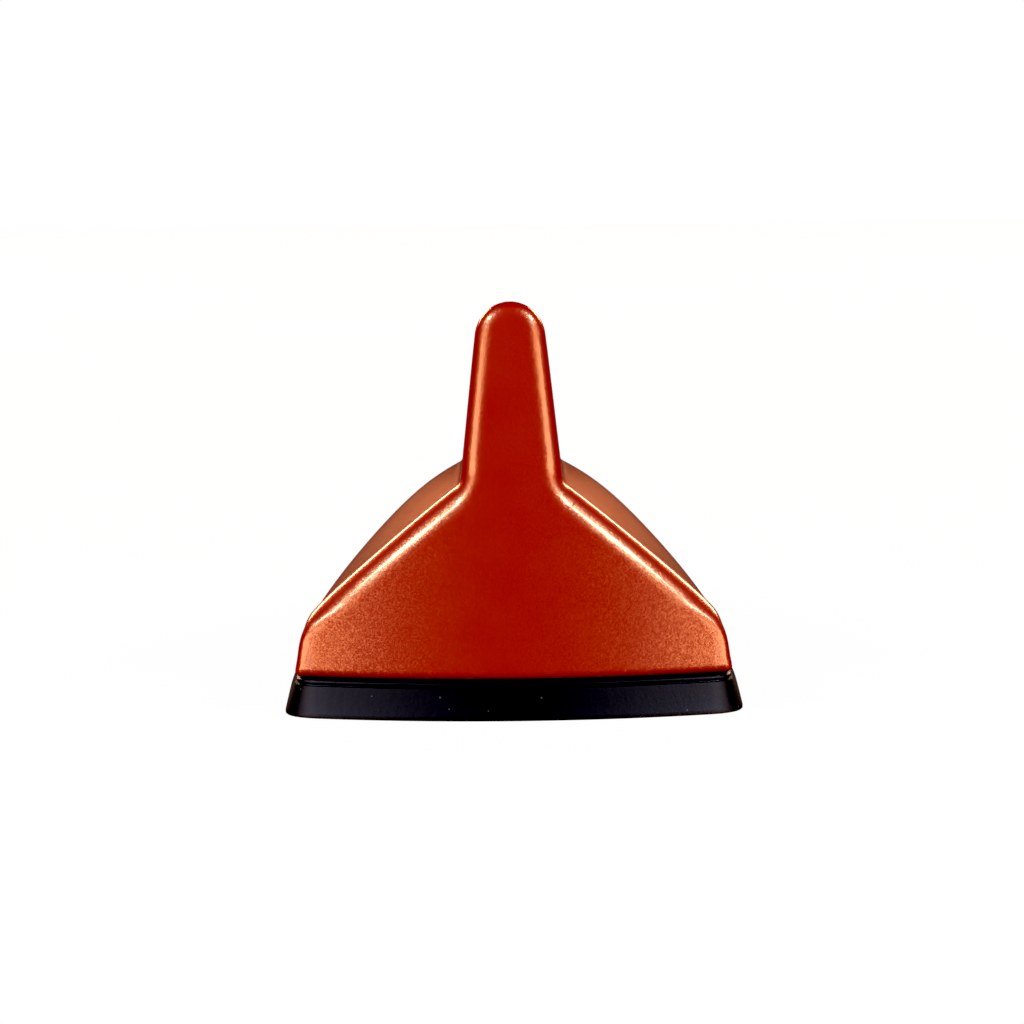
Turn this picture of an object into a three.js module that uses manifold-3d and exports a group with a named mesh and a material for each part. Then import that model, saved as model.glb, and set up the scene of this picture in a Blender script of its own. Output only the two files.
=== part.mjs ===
// Car roof antenna with a fin-shaped painted cover on a flared rubber gasket, all sizes in mm.
// X points right, Y points to the nose, Z up. The origin is under the middle of the gasket's box,
// on the plane of the roof that the gasket seals against.
import * as THREE from 'three';
import { mergeVertices, mergeGeometries } from 'three/addons/utils/BufferGeometryUtils.js';
import Module from 'manifold-3d';

const wasm = await Module();
wasm.setup();

// ---- Driving dimensions ----------------------------------------------------------------------

// Footprint of the painted cover, at its lower edge
const COVER_HALF_WIDTH = 34.2;
const COVER_LENGTH = 162;
const WIDEST_FROM_REAR = 33;
const REAR_NARROWING = 0.003;
const REAR_BOW_RADIUS = 112;
const REAR_LEAN = THREE.MathUtils.degToRad(10);
const NOSE_SHARPNESS = 0.7;
const WALL_DRAFT = 0.1;

// Heights of the painted cover above the roof
const JOINT_Z = 6.2;
const CORNER_Z = 13.2;
const ROOT_Z = 36.1;
const TIP_Z = 64.3;
const NOSE_CREST_Z = 9.6;
const NOSE_ROOT_Z = 8.4;

// Fin
const FIN_ROOT_HALF = 8.3;
const FIN_TAPER = THREE.MathUtils.degToRad(6.2);
const FIN_NARROWING = 1.2;
const TIP_ROUND = 3.2;
const CREST_HOLLOW = 1.05;

// How the hull's lines run from the rear to the nose
const ROOT_HOLD = 2.09;
const ROOT_DROP = 0.956;
const CORNER_DROP = 5.76;
const SHOULDER_BOW = 0.18;
const NOSE_BOW = 0.62;
const BOW_GAIN = 2.96;

// Walls and clearances
const COVER_WALL = 2.2;
const GAP = 0.3;
const FIT = 0.3;
const OVERLAP = 0.5;

// How far the inner skin lies below the outer one, for each mm of wall
const CREST_STEP = 1.1;
const FLANK_STEP = 0.44;

// Rubber gasket
const SKIRT_FLARE = 1.9;
const SKIRT_INSET = 0.1;
const SKIRT_WALL = 3.4;
const WEB_THICKNESS = 1.6;
const FOOT_HEIGHT = 0.5;
const LIP_CHAMFER_WIDTH = 0.6;
const LIP_CHAMFER_HEIGHT = 0.4;

// Die-cast base plate
const PLATE_THICKNESS = 3;
const BOSS_BEHIND_MIDDLE = 19;
const BOSS_RADIUS = 11;
const BOSS_RECESS = 0.4;
const POST_RADIUS = 2.9;
const POST_HEIGHT = 3.6;
const POST_FROM_BOARD_REAR = 10;
const POST_FROM_BLOCK = 0.8;
const POST_FROM_EDGE = 1.2;
const RIB_HEIGHT = 2;
const RIB_THICKNESS = 1.6;
const RIB_FROM_BOARD_REAR = 4;

// Seals
const SEAL_WIDTH = 2;
const SEAL_MARGIN = 0.2;
const SEAL_CHAMFER = 0.3;
const BOSS_SEAL_WIDTH = 2.3;
const VENT_RADIUS = 3.2;
const VENT_THICKNESS = 1;
const VENT_SEAT = 1;
const VENT_FROM_BLOCK = 8;

// Cover flange, tongues and spring clips
const FLANGE_THICKNESS = 2;
const FLANGE_WIDTH = 4;
const TONGUE_THICKNESS = 2;
const TONGUE_REACH = 3.4;
const TONGUE_RISE = 4;
const CLIP_SHEET = 0.5;
const CLIP_LENGTH = 2.6;
const CLIP_PAIRS = 3;
const CLIP_FIRST_FROM_REAR = 30;
const CLIP_LAST_FROM_NOSE = 48;
const CLIP_OFFSET = 0.2;
const CLIP_DROP = 0.6;

// Fixing insert
const INSERT_RADIUS = 5.5;
const INSERT_BORE = 3.4;
const INSERT_FLANGE_RADIUS = 7.6;
const INSERT_FLANGE_THICKNESS = 1.5;

// Boards
const BOARD_THICKNESS = 1.6;
const BOARD_FROM_TONGUE = 1;
const BOARD_REAR_GAP = 13;
const BOARD_LENGTH = 116;
const THIN_BOARD = 1;
const COPPER = 0.3;

// Board screws
const SCREW_RADIUS = 1.25;
const SCREW_LENGTH = 3.8;
const SCREW_HEAD_RADIUS = 2.4;
const SCREW_HEAD_HEIGHT = 1.6;
const SCREW_DRIVE_RADIUS = 1;
const SCREW_DRIVE_DEPTH = 0.9;

// Shield over the amplifier
const SHIELD_WIDTH = 20;
const SHIELD_LENGTH = 24;
const SHIELD_HEIGHT = 3.4;
const SHIELD_SHEET = 0.4;
const SHIELD_FROM_BOSS = 4;
const SHIELD_BAR = 2;
const CHIP_SIZE = 5;
const CHIP_HEIGHT = 1.1;
const CHIP_STAGGER = 2;

// Positioning patch
const PATCH_SIZE = 16;
const PATCH_HEIGHT = 3;
const PATCH_FROM_SHIELD = 3;
const ELECTRODE_SIZE = 13;
const PIN_RADIUS = 0.5;
const CONTACT_STUB = 1.2;
const PIN_HEAD_RADIUS = 1.1;
const PIN_HEAD_HEIGHT = 0.5;

// Upright boards and coil
const BLADE_HALF_WIDTH = 19;
const BLADE_TOP_HALF = 9;
const BLADE_HEIGHT = 16;
const BLADE_SHOULDER = 4;
const BLADE_FROM_BOARD_REAR = 5;
const COPPER_MARGIN = 1.5;
const FIN_BOARD_FROM_SHIELD = 8.9;
const FIN_BOARD_CLEARANCE = 6.5;
const HOLDER_WIDTH = 8;
const HOLDER_LENGTH = 5;
const HOLDER_HEIGHT = 6;
const HOLDER_FLOOR = 1.5;
const CAP_HALF_WIDTH = 2.3;
const CAP_DEPTH = 5;
const CAP_SHEET = 0.5;
const COIL_RADIUS = 3.2;
const COIL_WIRE = 0.45;
const COIL_TURNS = 5;
const COIL_PITCH = 2;
const COIL_FROM_BLADE = 0.8;
const COIL_STAND = 2;
const FIN_BOARD_FROM_COIL = 1;
const FORMER_RADIUS = 2.3;

// Connector block
const SOCKETS = 3;
const SOCKET_SIZE = 7.4;
const SOCKET_WALL = 1.3;
const SOCKET_ROOF = 1.4;
const BLOCK_RECESS = 0.5;
const BLOCK_FROM_SEAL = 6;
const BLOCK_FROM_BOARD = 0.4;

// Facets
const ROUND = 20;
const SIDE_STEPS = 15;
const REAR_STEPS = 8;

// ---- Heights and places that follow from them -------------------------------------------------

const REAR_Y = -COVER_LENGTH / 2;
const NOSE_Y = COVER_LENGTH / 2;
const WIDEST_Y = REAR_Y + WIDEST_FROM_REAR;
const CREST_REAR_Y = REAR_Y + (TIP_Z - JOINT_Z) * Math.tan(REAR_LEAN);
const SKIRT_TOP_Z = JOINT_Z - GAP;
const PLATE_Z = WEB_THICKNESS;
const PLATE_TOP_Z = PLATE_Z + PLATE_THICKNESS;
const BOARD_Z = PLATE_TOP_Z + POST_HEIGHT;
const BOARD_TOP_Z = BOARD_Z + BOARD_THICKNESS;
const PLATE_INSET = SKIRT_WALL + GAP;
const SEAL_INSET = PLATE_INSET + SEAL_MARGIN;
const FLANGE_INSET = Math.max(COVER_WALL + FLANGE_WIDTH, SEAL_INSET + SEAL_WIDTH + GAP);
const BOARD_INSET = FLANGE_INSET + TONGUE_REACH + BOARD_FROM_TONGUE;
const BOSS_Y = -BOSS_BEHIND_MIDDLE;
const BOARD_REAR_Y = REAR_Y + BOARD_REAR_GAP;
const BOARD_FRONT_Y = BOARD_REAR_Y + BOARD_LENGTH;
const BLOCK_WIDTH = SOCKETS * SOCKET_SIZE + (SOCKETS + 1) * SOCKET_WALL;
const BLOCK_LENGTH = SOCKET_SIZE + 2 * SOCKET_WALL;
const BLOCK_Y = BOSS_Y + BOSS_RADIUS + BOSS_SEAL_WIDTH + BLOCK_FROM_SEAL + BLOCK_LENGTH / 2;
const VENT_Y = BLOCK_Y + BLOCK_LENGTH / 2 + VENT_FROM_BLOCK + VENT_RADIUS;

// ---- Materials ---------------------------------------------------------------------------------

function finish(color, roughness, metalness) {
  return new THREE.MeshStandardMaterial({ color, roughness, metalness });
}

const PAINT = finish(0xb8200c, 0.3, 0.4);
const RUBBER = finish(0x16161a, 0.75, 0);
const ZINC = finish(0xa6a9aa, 0.45, 0.9);
const STEEL = finish(0xc9cccf, 0.3, 1);
const BRASS = finish(0xc79a4b, 0.35, 1);
const BOARD_GREEN = finish(0x1f5a38, 0.5, 0);
const CERAMIC = finish(0xd9cdb8, 0.6, 0);
const SILVER = finish(0xd8d8d4, 0.3, 1);
const COPPER_METAL = finish(0xc07a4e, 0.35, 1);
const MOULDED = finish(0x222326, 0.55, 0);
const CHIP = finish(0x17181a, 0.5, 0);
const MEMBRANE = finish(0xe9e9e4, 0.85, 0);

// ---- Solids ------------------------------------------------------------------------------------

function toSolid(geometry) {
  const bare = geometry.index ? geometry.toNonIndexed() : geometry.clone();
  bare.deleteAttribute('normal');
  bare.deleteAttribute('uv');
  const merged = mergeVertices(bare, 1e-4);
  const vertProperties = new Float32Array(merged.attributes.position.array);
  const kept = [];
  const index = merged.index.array;
  for (let i = 0; i < index.length; i += 3) {
    const [a, b, c] = [index[i], index[i + 1], index[i + 2]];
    if (a !== b && b !== c && c !== a) kept.push(a, b, c);
  }
  const triVerts = new Uint32Array(kept);
  return new wasm.Manifold(new wasm.Mesh({ numProp: 3, vertProperties, triVerts }));
}

function toGeometry(solid) {
  const mesh = solid.getMesh();
  const geometry = new THREE.BufferGeometry();
  geometry.setAttribute('position', new THREE.BufferAttribute(mesh.vertProperties, 3));
  geometry.setIndex(new THREE.BufferAttribute(mesh.triVerts, 1));
  geometry.computeVertexNormals();
  return geometry;
}

function node(name, solid, material) {
  const mesh = new THREE.Mesh(toGeometry(solid), material);
  mesh.name = name;
  return mesh;
}

function block(x0, x1, y0, y1, z0, z1) {
  const box = new THREE.BoxGeometry(x1 - x0, y1 - y0, z1 - z0);
  box.translate((x0 + x1) / 2, (y0 + y1) / 2, (z0 + z1) / 2);
  return toSolid(box);
}

function centredBlock(x, y, width, length, z0, z1) {
  return block(x - width / 2, x + width / 2, y - length / 2, y + length / 2, z0, z1);
}

function disc(x, y, radius, z0, z1, sides = ROUND) {
  const cylinder = new THREE.CylinderGeometry(radius, radius, z1 - z0, sides);
  cylinder.rotateX(Math.PI / 2);
  cylinder.translate(x, y, (z0 + z1) / 2);
  return toSolid(cylinder);
}

function extrudeUp(points, z0, z1) {
  const shape = new THREE.Shape(points);
  const geometry = new THREE.ExtrudeGeometry(shape, { depth: z1 - z0, bevelEnabled: false });
  geometry.translate(0, 0, z0);
  return toSolid(geometry);
}

// A plate that stands along Y and Z, given its outline as (y, z) points and its two faces in x
function uprightAlongY(points, x0, x1) {
  const shape = new THREE.Shape(points.map(([y, z]) => new THREE.Vector2(y, z)));
  const geometry = new THREE.ExtrudeGeometry(shape, { depth: x1 - x0, bevelEnabled: false });
  const turn = new THREE.Matrix4().makeBasis(
    new THREE.Vector3(0, 1, 0),
    new THREE.Vector3(0, 0, 1),
    new THREE.Vector3(1, 0, 0),
  );
  geometry.applyMatrix4(turn);
  geometry.translate(x0, 0, 0);
  return toSolid(geometry);
}

// A plate that stands along X and Z, given its outline as (x, z) points and its two faces in y
function uprightAlongX(points, y0, y1) {
  const shape = new THREE.Shape(points.map(([x, z]) => new THREE.Vector2(x, z)));
  const geometry = new THREE.ExtrudeGeometry(shape, { depth: y1 - y0, bevelEnabled: false });
  geometry.rotateX(Math.PI / 2);
  geometry.translate(0, y1, 0);
  return toSolid(geometry);
}

// ---- The cover's surface -------------------------------------------------------------------------

// How far the nose has narrowed the plan at y: 1 at the widest place, 0 at the nose
function planTaper(y, inset) {
  if (y <= WIDEST_Y) {
    const back = (WIDEST_Y - y) / WIDEST_FROM_REAR;
    return 1 - REAR_NARROWING * back * back;
  }
  const ahead = Math.min((y - WIDEST_Y) / (NOSE_Y - inset - WIDEST_Y), 1);
  return Math.pow(1 - ahead * ahead, NOSE_SHARPNESS);
}

// Share of the way from the fin's rear edge to the nose
function alongCrest(y) {
  return THREE.MathUtils.clamp((y - CREST_REAR_Y) / (NOSE_Y - CREST_REAR_Y), 0, 1);
}

function crestZ(y) {
  return NOSE_CREST_Z + (TIP_Z - NOSE_CREST_Z) * Math.pow(1 - alongCrest(y), CREST_HOLLOW);
}

// The line where the fin grows out of the hull: level behind, then falling to the nose
function rootZ(y) {
  const held = 1 - Math.pow(alongCrest(y), ROOT_HOLD);
  return NOSE_ROOT_Z + (ROOT_Z - NOSE_ROOT_Z) * Math.pow(held, ROOT_DROP);
}

function cornerZ(y) {
  return JOINT_Z + (CORNER_Z - JOINT_Z) * Math.pow(1 - alongCrest(y), CORNER_DROP);
}

function shoulderBow(y) {
  const gained = 1 - Math.pow(1 - alongCrest(y), BOW_GAIN);
  return THREE.MathUtils.lerp(SHOULDER_BOW, NOSE_BOW, gained);
}

// The rear panel: bowed in plan and leaning towards the nose
function rearY(x, z, inset) {
  return REAR_Y + inset + (x * x) / (2 * REAR_BOW_RADIUS) + (z - JOINT_Z) * Math.tan(REAR_LEAN);
}

// Rows of a cross-section from the lower edge to the crest, each with its zone and share of it
const WALL_ROWS = [0, 1];
const SHOULDER_ROWS = [1, 2, 3, 4, 5, 6, 7].map((k) => k / 7);
const FIN_ROWS = [1, 2, 3].map((k) => k / 3);
const CREST_ROWS = [1, 2, 3].map((k) => k / 3);
const ROWS = [
  ...WALL_ROWS.map((share) => ({ zone: 'wall', share })),
  ...SHOULDER_ROWS.map((share) => ({ zone: 'shoulder', share })),
  ...FIN_ROWS.map((share) => ({ zone: 'fin', share })),
  ...CREST_ROWS.map((share) => ({ zone: 'crest', share })),
];

// Half-width and height of one row of the cross-section at y, with the skin moved in by inset
function sectionPoint(row, y, inset, lowZ) {
  const taper = planTaper(y, inset);
  const half = (COVER_HALF_WIDTH - inset) * taper;
  const finRoot = Math.max(FIN_ROOT_HALF - inset, 0.1) * Math.pow(taper, FIN_NARROWING);
  const topZ = crestZ(y) - CREST_STEP * inset;
  const rootAt = Math.min(rootZ(y) - FLANK_STEP * inset, topZ - 0.6);
  const shoulderZ = Math.max(cornerZ(y) - FLANK_STEP * inset, lowZ + 0.4);
  const round = Math.min(TIP_ROUND, (topZ - rootAt) * 0.8);
  const finTopHalf = Math.max(finRoot - (topZ - round - rootAt) * Math.tan(FIN_TAPER), finRoot * 0.4);
  const cornerHalf = Math.max(half - (shoulderZ - lowZ) * WALL_DRAFT, half * 0.9);
  if (row.zone === 'wall') {
    return { x: half + (cornerHalf - half) * row.share, z: lowZ + (shoulderZ - lowZ) * row.share };
  }
  if (row.zone === 'shoulder') {
    const eased = row.share + shoulderBow(y) * row.share * (row.share - 1);
    return {
      x: cornerHalf + (finRoot - cornerHalf) * eased,
      z: shoulderZ + (rootAt - shoulderZ) * row.share,
    };
  }
  if (row.zone === 'fin') {
    return {
      x: finRoot + (finTopHalf - finRoot) * row.share,
      z: rootAt + (topZ - round - rootAt) * row.share,
    };
  }
  const turn = (row.share * Math.PI) / 2;
  return { x: finTopHalf * Math.cos(turn), z: topZ - round + round * Math.sin(turn) };
}

// Where a row meets the rear panel
function rearPoint(row, inset, lowZ) {
  let y = REAR_Y + inset;
  let point = sectionPoint(row, y, inset, lowZ);
  for (let step = 0; step < 30; step += 1) {
    y = rearY(point.x, point.z, inset);
    point = sectionPoint(row, y, inset, lowZ);
  }
  return { x: point.x, y, z: point.z };
}

// One row along the right-hand side, from the rear panel to the nose
function sideRow(row, inset, lowZ) {
  const start = rearPoint(row, inset, lowZ);
  const noseY = NOSE_Y - inset;
  const points = [new THREE.Vector3(start.x, start.y, start.z)];
  for (let i = 1; i <= SIDE_STEPS; i += 1) {
    const share = Math.sin((i / SIDE_STEPS) * Math.PI * 0.5);
    const y = start.y + (noseY - start.y) * share;
    const { x, z } = sectionPoint(row, y, inset, lowZ);
    points.push(new THREE.Vector3(i === SIDE_STEPS ? 0 : x, y, z));
  }
  return points;
}

// One row across the rear panel, from left to right
function rearRow(row, inset, lowZ) {
  const { x: half, z } = rearPoint(row, inset, lowZ);
  const points = [];
  for (let k = 0; k <= REAR_STEPS; k += 1) {
    const x = half * ((2 * k) / REAR_STEPS - 1);
    points.push(new THREE.Vector3(x, rearY(x, z, inset), z));
  }
  return points;
}

function gridGeometry(rows, flip) {
  const positions = rows.flat().flatMap((p) => [p.x, p.y, p.z]);
  const across = rows[0].length;
  const index = [];
  for (let j = 0; j + 1 < rows.length; j += 1) {
    for (let i = 0; i + 1 < across; i += 1) {
      const a = j * across + i;
      const [b, c, d] = [a + 1, a + across + 1, a + across];
      if (flip) index.push(a, c, b, a, d, c);
      else index.push(a, b, c, a, c, d);
    }
  }
  const geometry = new THREE.BufferGeometry();
  geometry.setAttribute('position', new THREE.Float32BufferAttribute(positions, 3));
  geometry.setIndex(index);
  return geometry;
}

function mirrored(rows) {
  return rows.map((row) => row.map((p) => new THREE.Vector3(-p.x, p.y, p.z)));
}

// The outline at the cover's lower edge, moved in by inset, counter-clockwise from above
function footprint(inset) {
  const right = sideRow(ROWS[0], inset, JOINT_Z);
  const rear = rearRow(ROWS[0], inset, JOINT_Z);
  const left = right.slice(1, -1).reverse();
  return [
    ...rear.map((p) => new THREE.Vector2(p.x, p.y)),
    ...right.slice(1).map((p) => new THREE.Vector2(p.x, p.y)),
    ...left.map((p) => new THREE.Vector2(-p.x, p.y)),
  ];
}

function capGeometry(outline, z, facesUp) {
  const triangles = THREE.ShapeUtils.triangulateShape(outline, []);
  const positions = outline.flatMap((p) => [p.x, p.y, z]);
  const index = triangles.flatMap(([a, b, c]) => (facesUp ? [a, b, c] : [a, c, b]));
  const geometry = new THREE.BufferGeometry();
  geometry.setAttribute('position', new THREE.Float32BufferAttribute(positions, 3));
  geometry.setIndex(index);
  return geometry;
}

// The whole body under the skin that lies inset inside the painted surface, down to lowZ
function bodySolid(inset, lowZ) {
  const side = ROWS.map((row) => sideRow(row, inset, lowZ));
  const rear = ROWS.map((row) => rearRow(row, inset, lowZ));
  const bottomRight = side[0];
  const outline = [
    ...rear[0].map((p) => new THREE.Vector2(p.x, p.y)),
    ...bottomRight.slice(1).map((p) => new THREE.Vector2(p.x, p.y)),
    ...bottomRight.slice(1, -1).reverse().map((p) => new THREE.Vector2(-p.x, p.y)),
  ];
  const parts = [
    gridGeometry(side, false),
    gridGeometry(mirrored(side), true),
    gridGeometry(rear, false),
    capGeometry(outline, lowZ, false),
  ];
  return toSolid(mergeGeometries(parts.map((g) => g.toNonIndexed())));
}

// A ring that follows the footprint, given its section as (inset, z) corners in order
function ringSolid(corners) {
  const loops = corners.map(([inset, z]) =>
    footprint(inset).map((p) => new THREE.Vector3(p.x, p.y, z)),
  );
  const rows = [...loops, loops[0]].map((loop) => [...loop, loop[0]]);
  return toSolid(gridGeometry(rows, false));
}

function plateSolid(inset, z0, z1) {
  return extrudeUp(footprint(inset), z0, z1);
}

// ---- Cover, gasket and seals ---------------------------------------------------------------------

const clipFirstY = REAR_Y + CLIP_FIRST_FROM_REAR;
const clipLastY = NOSE_Y - CLIP_LAST_FROM_NOSE;
const clipYs = Array.from({ length: CLIP_PAIRS }, (_, k) =>
  THREE.MathUtils.lerp(clipFirstY, clipLastY, k / (CLIP_PAIRS - 1)),
);

function halfWidthAt(y, inset) {
  return sectionPoint(ROWS[0], y, inset, JOINT_Z).x;
}

// The tongue that hangs from the flange at each clip
function tongue(side, y) {
  const outer = halfWidthAt(y, COVER_WALL / 2);
  const inner = halfWidthAt(y, FLANGE_INSET) - TONGUE_REACH;
  const low = PLATE_TOP_Z + CLIP_SHEET + GAP;
  const half = TONGUE_THICKNESS / 2;
  const [x0, x1] = side > 0 ? [inner, outer] : [-outer, -inner];
  const upper = block(x0, x1, y - half, y + half, JOINT_Z, JOINT_Z + TONGUE_RISE);
  const reach = halfWidthAt(y, FLANGE_INSET) - GAP;
  const [l0, l1] = side > 0 ? [inner, reach] : [-reach, -inner];
  return upper.add(block(l0, l1, y - half, y + half, low, JOINT_Z + TONGUE_RISE));
}

function coverSolid() {
  const flangeTop = JOINT_Z + FLANGE_THICKNESS;
  const flange = ringSolid([
    [COVER_WALL / 2, JOINT_Z],
    [FLANGE_INSET, JOINT_Z],
    [FLANGE_INSET, flangeTop],
    [COVER_WALL / 2, flangeTop],
  ].reverse());
  let inner = flange;
  for (const y of clipYs) {
    inner = inner.add(tongue(1, y)).add(tongue(-1, y));
  }
  const shell = bodySolid(0, JOINT_Z).subtract(bodySolid(COVER_WALL, JOINT_Z - 1));
  return shell.add(inner.intersect(bodySolid(COVER_WALL / 2, 0)));
}

function gasketSolid() {
  const lip = SKIRT_INSET + LIP_CHAMFER_WIDTH;
  let gasket = ringSolid([
    [-SKIRT_FLARE, 0],
    [-SKIRT_FLARE, FOOT_HEIGHT],
    [SKIRT_INSET, SKIRT_TOP_Z - LIP_CHAMFER_HEIGHT],
    [lip, SKIRT_TOP_Z],
    [SKIRT_WALL, SKIRT_TOP_Z],
    [SKIRT_WALL, 0],
  ]);
  gasket = gasket.add(plateSolid(SKIRT_WALL - OVERLAP, 0, WEB_THICKNESS));
  const hole = BOSS_RADIUS + BOSS_SEAL_WIDTH + 2 * GAP;
  gasket = gasket.subtract(disc(0, BOSS_Y, hole, -1, WEB_THICKNESS + 1, 2 * ROUND));
  const width = BLOCK_WIDTH + 4 * GAP;
  const length = BLOCK_LENGTH + 4 * GAP;
  gasket = gasket.subtract(centredBlock(0, BLOCK_Y, width, length, -1, WEB_THICKNESS + 1));
  return gasket.subtract(disc(0, VENT_Y, VENT_RADIUS + GAP, -1, WEB_THICKNESS + 1));
}

function coverSealSolid() {
  const inner = SEAL_INSET + SEAL_WIDTH;
  return ringSolid([
    [SEAL_INSET, PLATE_TOP_Z],
    [SEAL_INSET, SKIRT_TOP_Z - SEAL_CHAMFER],
    [SEAL_INSET + SEAL_WIDTH / 2, SKIRT_TOP_Z],
    [inner, SKIRT_TOP_Z - SEAL_CHAMFER],
    [inner, PLATE_TOP_Z],
  ]);
}

function bossSealSolid() {
  const inner = BOSS_RADIUS + GAP;
  const outer = inner + BOSS_SEAL_WIDTH;
  const ring = disc(0, BOSS_Y, outer, 0, WEB_THICKNESS, 2 * ROUND);
  return ring.subtract(disc(0, BOSS_Y, inner, -1, WEB_THICKNESS + 1, 2 * ROUND));
}

// ---- Base plate and what is fixed to it ----------------------------------------------------------

const blockFrontY = BLOCK_Y + BLOCK_LENGTH / 2;
const postYs = [BOARD_REAR_Y + POST_FROM_BOARD_REAR, blockFrontY + POST_FROM_BLOCK + POST_RADIUS];

function postX(y) {
  return halfWidthAt(y, BOARD_INSET) - POST_RADIUS - POST_FROM_EDGE;
}

const posts = postYs.flatMap((y) => [[-postX(y), y], [postX(y), y]]);

function ribsSolid() {
  const half = RIB_THICKNESS / 2;
  const rearEnd = BOARD_REAR_Y + RIB_FROM_BOARD_REAR;
  const bossRear = BOSS_Y - BOSS_RADIUS;
  const low = PLATE_TOP_Z - OVERLAP;
  const top = PLATE_TOP_Z + RIB_HEIGHT;
  let ribs = block(-half, half, rearEnd, bossRear, low, top);
  const across = postX(postYs[0]);
  ribs = ribs.add(block(-across, across, postYs[0] - half, postYs[0] + half, low, top));
  for (const side of [-1, 1]) {
    const x = side * (BOSS_RADIUS - half);
    ribs = ribs.add(block(x - half, x + half, postYs[0], BOSS_Y, low, top));
  }
  return ribs;
}

function basePlateSolid() {
  let plate = plateSolid(PLATE_INSET, PLATE_Z, PLATE_TOP_Z);
  plate = plate.add(disc(0, BOSS_Y, BOSS_RADIUS, BOSS_RECESS, PLATE_TOP_Z, 2 * ROUND));
  plate = plate.add(ribsSolid());
  for (const [x, y] of posts) {
    plate = plate.add(disc(x, y, POST_RADIUS, PLATE_TOP_Z - OVERLAP, BOARD_Z));
    plate = plate.subtract(
      disc(x, y, SCREW_RADIUS + FIT, BOARD_TOP_Z - SCREW_LENGTH - FIT, BOARD_Z + 1),
    );
  }
  const seat = INSERT_FLANGE_RADIUS + FIT;
  plate = plate.subtract(disc(0, BOSS_Y, seat, PLATE_TOP_Z, PLATE_TOP_Z + RIB_HEIGHT + 1));
  plate = plate.subtract(disc(0, BOSS_Y, INSERT_RADIUS + FIT, -1, PLATE_TOP_Z + 1));
  const width = BLOCK_WIDTH + 2 * GAP;
  const length = BLOCK_LENGTH + 2 * GAP;
  plate = plate.subtract(centredBlock(0, BLOCK_Y, width, length, 0, PLATE_TOP_Z + 1));
  plate = plate.subtract(disc(0, VENT_Y, VENT_RADIUS - VENT_SEAT, 0, PLATE_TOP_Z + 1));
  return plate;
}

function insertSolid() {
  const flangeTop = PLATE_TOP_Z + INSERT_FLANGE_THICKNESS;
  let insert = disc(0, BOSS_Y, INSERT_RADIUS, BOSS_RECESS, flangeTop);
  insert = insert.add(disc(0, BOSS_Y, INSERT_FLANGE_RADIUS, PLATE_TOP_Z, flangeTop, 6));
  return insert.subtract(disc(0, BOSS_Y, INSERT_BORE, -1, flangeTop + 1));
}

// A spring clip: an open channel that stands on the plate and grips the tongue
function clipSolid(side, y) {
  const inner = halfWidthAt(y, FLANGE_INSET) - TONGUE_REACH + CLIP_OFFSET;
  const [x0, x1] = side > 0 ? [inner, inner + CLIP_LENGTH] : [-inner - CLIP_LENGTH, -inner];
  const slot = TONGUE_THICKNESS / 2 + FIT;
  const outer = slot + CLIP_SHEET;
  const top = JOINT_Z + TONGUE_RISE - CLIP_DROP;
  const channel = block(x0, x1, y - outer, y + outer, PLATE_TOP_Z, top);
  return channel.subtract(block(x0 - 1, x1 + 1, y - slot, y + slot, PLATE_TOP_Z + CLIP_SHEET, top + 1));
}

const BLOCK_TOP_Z = BOARD_Z - BLOCK_FROM_BOARD;
const SOCKET_CEILING_Z = BLOCK_TOP_Z - SOCKET_ROOF;

function connectorSolid() {
  const top = BLOCK_TOP_Z;
  let body = centredBlock(0, BLOCK_Y, BLOCK_WIDTH, BLOCK_LENGTH, BLOCK_RECESS, top);
  for (const x of socketXs) {
    body = body.subtract(centredBlock(x, BLOCK_Y, SOCKET_SIZE, SOCKET_SIZE, -1, SOCKET_CEILING_Z));
    body = body.subtract(disc(x, BLOCK_Y, PIN_RADIUS + FIT, SOCKET_CEILING_Z - 1, top + 1));
  }
  return body;
}

const socketXs = Array.from(
  { length: SOCKETS },
  (_, k) => (k - (SOCKETS - 1) / 2) * (SOCKET_SIZE + SOCKET_WALL),
);

// ---- Boards and what stands on them --------------------------------------------------------------

const shieldY = BOSS_Y + BOSS_RADIUS + SHIELD_LENGTH / 2 + SHIELD_FROM_BOSS;
const patchY = shieldY + SHIELD_LENGTH / 2 + PATCH_FROM_SHIELD + PATCH_SIZE / 2;
const bladeY = BOARD_REAR_Y + BLADE_FROM_BOARD_REAR;
const coilY = bladeY + THIN_BOARD + COIL_RADIUS + COIL_WIRE + COIL_FROM_BLADE;
const finBoardRearY = coilY + COIL_RADIUS + COIL_WIRE + FIN_BOARD_FROM_COIL;

function mainBoardSolid() {
  const outline = plateSolid(BOARD_INSET, BOARD_Z, BOARD_TOP_Z);
  const band = block(-COVER_HALF_WIDTH, COVER_HALF_WIDTH, BOARD_REAR_Y, BOARD_FRONT_Y, 0, TIP_Z);
  const room = bodySolid(COVER_WALL + GAP, JOINT_Z - 1).slice(BOARD_TOP_Z).extrude(TIP_Z);
  let board = outline.intersect(band).intersect(room);
  for (const [x, y] of posts) {
    board = board.subtract(disc(x, y, SCREW_RADIUS + FIT, BOARD_Z - 1, BOARD_TOP_Z + 1));
  }
  return board;
}

function boardScrewSolid(x, y) {
  const headTop = BOARD_TOP_Z + SCREW_HEAD_HEIGHT;
  const shank = disc(x, y, SCREW_RADIUS, BOARD_TOP_Z - SCREW_LENGTH, BOARD_TOP_Z + 0.5);
  const head = disc(x, y, SCREW_HEAD_RADIUS, BOARD_TOP_Z, headTop);
  const drive = disc(x, y, SCREW_DRIVE_RADIUS, headTop - SCREW_DRIVE_DEPTH, headTop + 1, 6);
  return shank.add(head).subtract(drive);
}

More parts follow.
